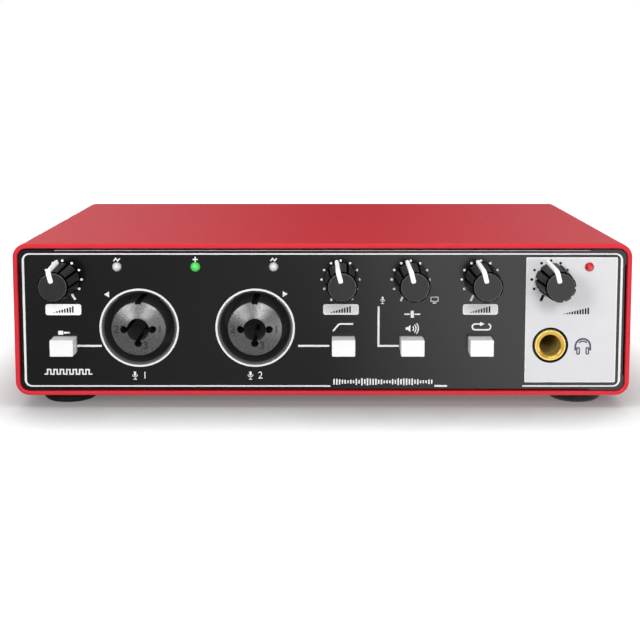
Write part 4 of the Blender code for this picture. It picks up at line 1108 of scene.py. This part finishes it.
def make_inputs():
    """Two input sockets."""
    for name, place in INPUTS.items():
        piece(f"{name}_housing", input_shape(), "socket_plastic", at=place, nodes=[f"{name}_socket"],
              others=["lip_painted_highlight", "lip_chamfer_dim_highlight", "socket_shade_and_glow"], choose=input_finish)
        piece(f"{name}_disc", insert_shape(), "insert_grey", at=place, nodes=[f"{name}_insert"],
              others=["socket_shade_and_glow", "pin_print_and_hole_shade"], choose=insert_finish)
        figures = [on_insert(numeral(figure, spot, 3.4, 0.1)) for figure, spot in PIN_NUMBERS.items()]
        piece(f"{name}_pin_numbers", merged(*figures), None, at=place, paint="pin_print_and_hole_shade")


def ring_finish(centre, normal):
    """The brass ring has a painted highlight on its rim and a dull bore."""
    radius = off_axis(centre)
    if radius < JACK_BORE + 0.02:
        return 1
    return 2 if radius > 4.4 else 0


def jack_finish(centre, normal):
    """The headphone socket's bore shows brass."""
    return off_axis(centre) < JACK_BORE + 0.05


def jack_body(back, front):
    """The block of a jack socket."""
    return block((-JACK_HALF, JACK_BOTTOM, back), (JACK_HALF, JACK_HALF, front))


def make_phones_socket():
    """The headphone socket and its brass bush."""
    cuts = [rod(PHONES_HOLE, -3.6, 3, sides=FINE_SIDES), rod(JACK_BORE, -26, 3)]
    body = carved(jack_body(-27.5, -2.3), cuts, edge=0.06)
    piece("phones_housing", body, "socket_plastic", at=PHONES_JACK, nodes=["phones_socket"],
          others=["brass_bore"], choose=jack_finish)
    profile = [(4.72, -3.3), (4.72, 0.02), (4.67, 0.14), (4.58, 0.24), (4.48, 0.29), (4.35, 0.3),
               (4.1, 0.27), (3.35, 0.0), (3.24, -0.1), (JACK_BORE, -0.3), (JACK_BORE, -3.3)]
    piece("phones_ring", turned(profile, FINE_SIDES, True), "brass", at=PHONES_JACK, nodes=["phones_bush"],
          others=["brass_bore", "brass_rim_highlight"], choose=ring_finish)


def nut_shape():
    """A hexagon nut with its corners turned off."""
    corner = 5.5 / math.cos(math.radians(30))
    hexagon = prism(disc((0, 0), corner, 6), 0.3, 2.3)
    turning = turned([(8, -1), (8, 1.9), (5.6, 2.6), (1, 2.6)], FINE_SIDES)
    return carved(carved(hexagon, keeps=[turning]), [rod(LINE_HOLE, -1, 4)], edge=0.08)


def make_line_outputs():
    """Two line output sockets at the back, each with a hexagon nut."""
    for name, place in LINE_OUTPUTS.items():
        nose = turned([(4.4, -4), (4.4, 2.8), (4.2, 3.0), (2.0, 3.0)], FINE_SIDES)
        body = carved(jack_body(-24.5, -1.9), [rod(JACK_BORE, -23, 6)], [nose], edge=0.06)
        piece(f"{name}_jack", body, "socket_plastic", REAR, place, nodes=[f"{name}_socket"])
        piece(f"{name}_hexagon", nut_shape(), "nut_nickel", REAR, place, nodes=[f"{name}_nut"])


def make_usb_socket():
    """The USB socket, a folded steel shell with a tongue."""
    shell = prism(centred(USB_HALF_WIDTH, USB_HALF_HEIGHT, USB_CORNER, steps=8), -7.5, 0)
    inside = centred(USB_HALF_WIDTH - USB_WALL, USB_HALF_HEIGHT - USB_WALL, USB_CORNER - USB_WALL, steps=8)
    tongue = prism(centred(3.35, 0.35, 0.12, steps=3), -6.3, -1.5)
    piece("usb_shell", carved(shell, [prism(inside, -6, 1)], edge=0.06), "usb_steel", REAR, USB,
          nodes=["usb_socket"])
    piece("usb_tongue", tongue, None, REAR, USB, paint="socket_plastic")


# Feet

def screw_shape():
    """A foot screw with a rounded head and a cross slot."""
    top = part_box("foot_screw_front_left")[1].z / MM
    head = [(1.4, top), (1.4, 2.2), (2.45, 2.2), (2.6, 2.05), (2.6, 1.5), (2.4, 1.15), (1.9, 0.95),
            (1.0, 0.9)]
    slots = [block((-long, -short, 0), (long, short, 1.5)) for long, short in ((1.3, 0.3), (0.3, 1.3))]
    return carved(turned(head, SMALL_SIDES), slots, edge=0.05)


def make_feet():
    """Four rubber feet, each with a pocket for its screw's head."""
    profile = [(8.0, 3.7), (8.14, 3.64), (8.2, 3.5), (8.2, 0.95), (8.14, 0.7), (7.65, 0.2), (7.4, 0.06),
               (7.1, 0), (3.15, 0), (3.0, 0.06), (2.93, 0.2), (2.93, 2.5), (SCREW_HOLE, 2.5),
               (SCREW_HOLE, 3.7)]
    for name in FEET:
        low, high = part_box(f"foot_{name}")
        middle = (low + high) / 2
        place = Matrix.Translation((middle.x, middle.y, 0))
        piece(f"rubber_{name}", turned(profile, closed=True), "rubber", place, nodes=[f"foot_{name}"])
        piece(f"screw_{name}", screw_shape(), "screw_steel", place, nodes=[f"foot_screw_{name}"])


make_sleeve()
make_front_panel()
make_rear_panel()
make_front_marks()
make_rear_marks()
make_knobs()
make_buttons()
make_lamps()
make_inputs()
make_phones_socket()
make_line_outputs()
make_usb_socket()
make_feet()


# Camera, floor and light, in metres

CAMERA_BACK = 0.3458
CAMERA_RISE = 0.05005
CAMERA_TILT = 0.1
FLOOR_REACH = 4.0
SHADE_POWER = 2.8
SHADE_DEEPEST = 0.14
WORLD_LIGHT = 0.3
SHEEN_MIDDLE = 0.024
SHEEN_REACH = 0.24
SHEEN_LEVELS = (-0.3, 0.36)
FLOOR_SHEEN_HALF = 0.1
FLOOR_SHEEN = 2.5


def make_camera():
    """The camera, where the photograph was taken from."""
    data = bpy.data.cameras.new("camera")
    data.sensor_width = 36
    data.lens = 65.25
    data.shift_x = -0.0038
    data.shift_y = -0.1989
    data.clip_start = 0.01
    camera = shown("camera", data)
    camera.location = (0, FACE_Y - CAMERA_BACK, BASE_Z + CASE_HEIGHT * MM + CAMERA_RISE)
    camera.rotation_euler = (math.pi / 2 - CAMERA_TILT, 0, 0)
    bpy.context.scene.camera = camera


def make_lamp(name, place, aim, size, watts):
    """A soft box."""
    data = bpy.data.lights.new(name, 'AREA')
    data.shape = 'RECTANGLE'
    data.size, data.size_y = size
    data.energy = watts
    lamp = shown(name, data)
    lamp.location = place
    lamp.rotation_euler = (Vector(aim) - lamp.location).to_track_quat('-Z', 'Y').to_euler()


def back_sheen(graph):
    """What glossy faces see behind the object, on top of the plain light: darker in the middle."""
    axes = graph.axes(graph.add("TexCoord").outputs["Generated"])
    across = graph.math('SUBTRACT', axes["X"], SHEEN_MIDDLE)
    away = graph.math('MAXIMUM', across, graph.math('MULTIPLY', across, -1.0))
    level = graph.span(away, (0.0, SHEEN_REACH), SHEEN_LEVELS)
    behind = graph.math('GREATER_THAN', axes["Y"], 0.0)
    return graph.math('MULTIPLY', level, graph.math('MULTIPLY', behind, graph.ray("Glossy")))


def make_world():
    """A white studio that lights the object at a lower level than it shows."""
    world = bpy.data.worlds.new("studio")
    bpy.context.scene.world = world
    graph = Graph(world)
    background = graph.nodes["Background"]
    background.inputs["Color"].default_value = (1, 1, 1, 1)
    level = graph.span(graph.seen_directly(), (0.0, 1.0), (WORLD_LIGHT, 1.0))
    graph.link(graph.math('ADD', level, back_sheen(graph)), background.inputs["Strength"])


def side_sheen(graph):
    """What glossy faces see of the floor: brighter towards the right."""
    axes = graph.axes(graph.add("NewGeometry").outputs["Position"])
    along = graph.span(axes["X"], (-FLOOR_SHEEN_HALF, FLOOR_SHEEN_HALF), (0.0, 1.0))
    level = graph.ramp(along, (0.03, 0.056), (0.26, 0.136), (0.5, 0.16), (0.76, 0.74), (0.88, 0.87))
    return graph.math('MULTIPLY', graph.math('MULTIPLY', level, FLOOR_SHEEN), graph.ray("Glossy"))


def make_floor():
    """A pale floor that shows nearly white, with the lamps' shadow and a painted shadow near the object."""
    mesh = bpy.data.meshes.new("floor")
    corners = [(x * FLOOR_REACH, y * FLOOR_REACH, 0) for x, y in ((-1, -1), (1, -1), (1, 1), (-1, 1))]
    mesh.from_pydata(corners, [], [(0, 1, 2, 3)])
    floor = shown("floor", mesh)
    material = bpy.data.materials.new("floor")
    graph = Graph(material)
    shader = graph.nodes["Principled BSDF"]
    graph.fill(shader, Base_Color=(0.31, 0.31, 0.31, 1), Roughness=0.9)
    # Its glow fades where the object is near, by ambient occlusion: a painted shadow.
    nearby = graph.add("AmbientOcclusion", Distance=0.038)
    nearby.samples = 12
    depth = graph.math('POWER', nearby.outputs["AO"], SHADE_POWER)
    level = graph.span(depth, (0.0, 1.0), (SHADE_DEEPEST, 1.0))
    glow = graph.math('ADD', graph.math('MULTIPLY', level, graph.seen_directly()), side_sheen(graph))
    graph.link(glow, shader.inputs["Emission Strength"])
    mesh.materials.append(material)


make_camera()
make_world()
make_floor()
make_lamp("overhead", place=(0.0, -0.1, 1.1), aim=(0, 0, 0), size=(1.0, 1.0), watts=3.9)
make_lamp("front_low", place=(0.72, -0.58, 0.035), aim=(0.03, 0, 0.03), size=(0.3, 0.06), watts=1.2)
make_lamp("front_left", place=(-0.5, -0.87, 0.36), aim=(0, 0, 0.03), size=(0.3, 0.3), watts=3.5)
make_lamp("rear_low", place=(-0.2, 0.95, 0.022), aim=(0, 0, 0.022), size=(0.6, 0.04), watts=2.2)
make_lamp("front_middle", place=(0.13, -0.99, 0.43), aim=(0, 0, 0.03), size=(0.25, 0.25), watts=3.6)

view = bpy.context.scene.view_settings
view.view_transform = 'Standard'
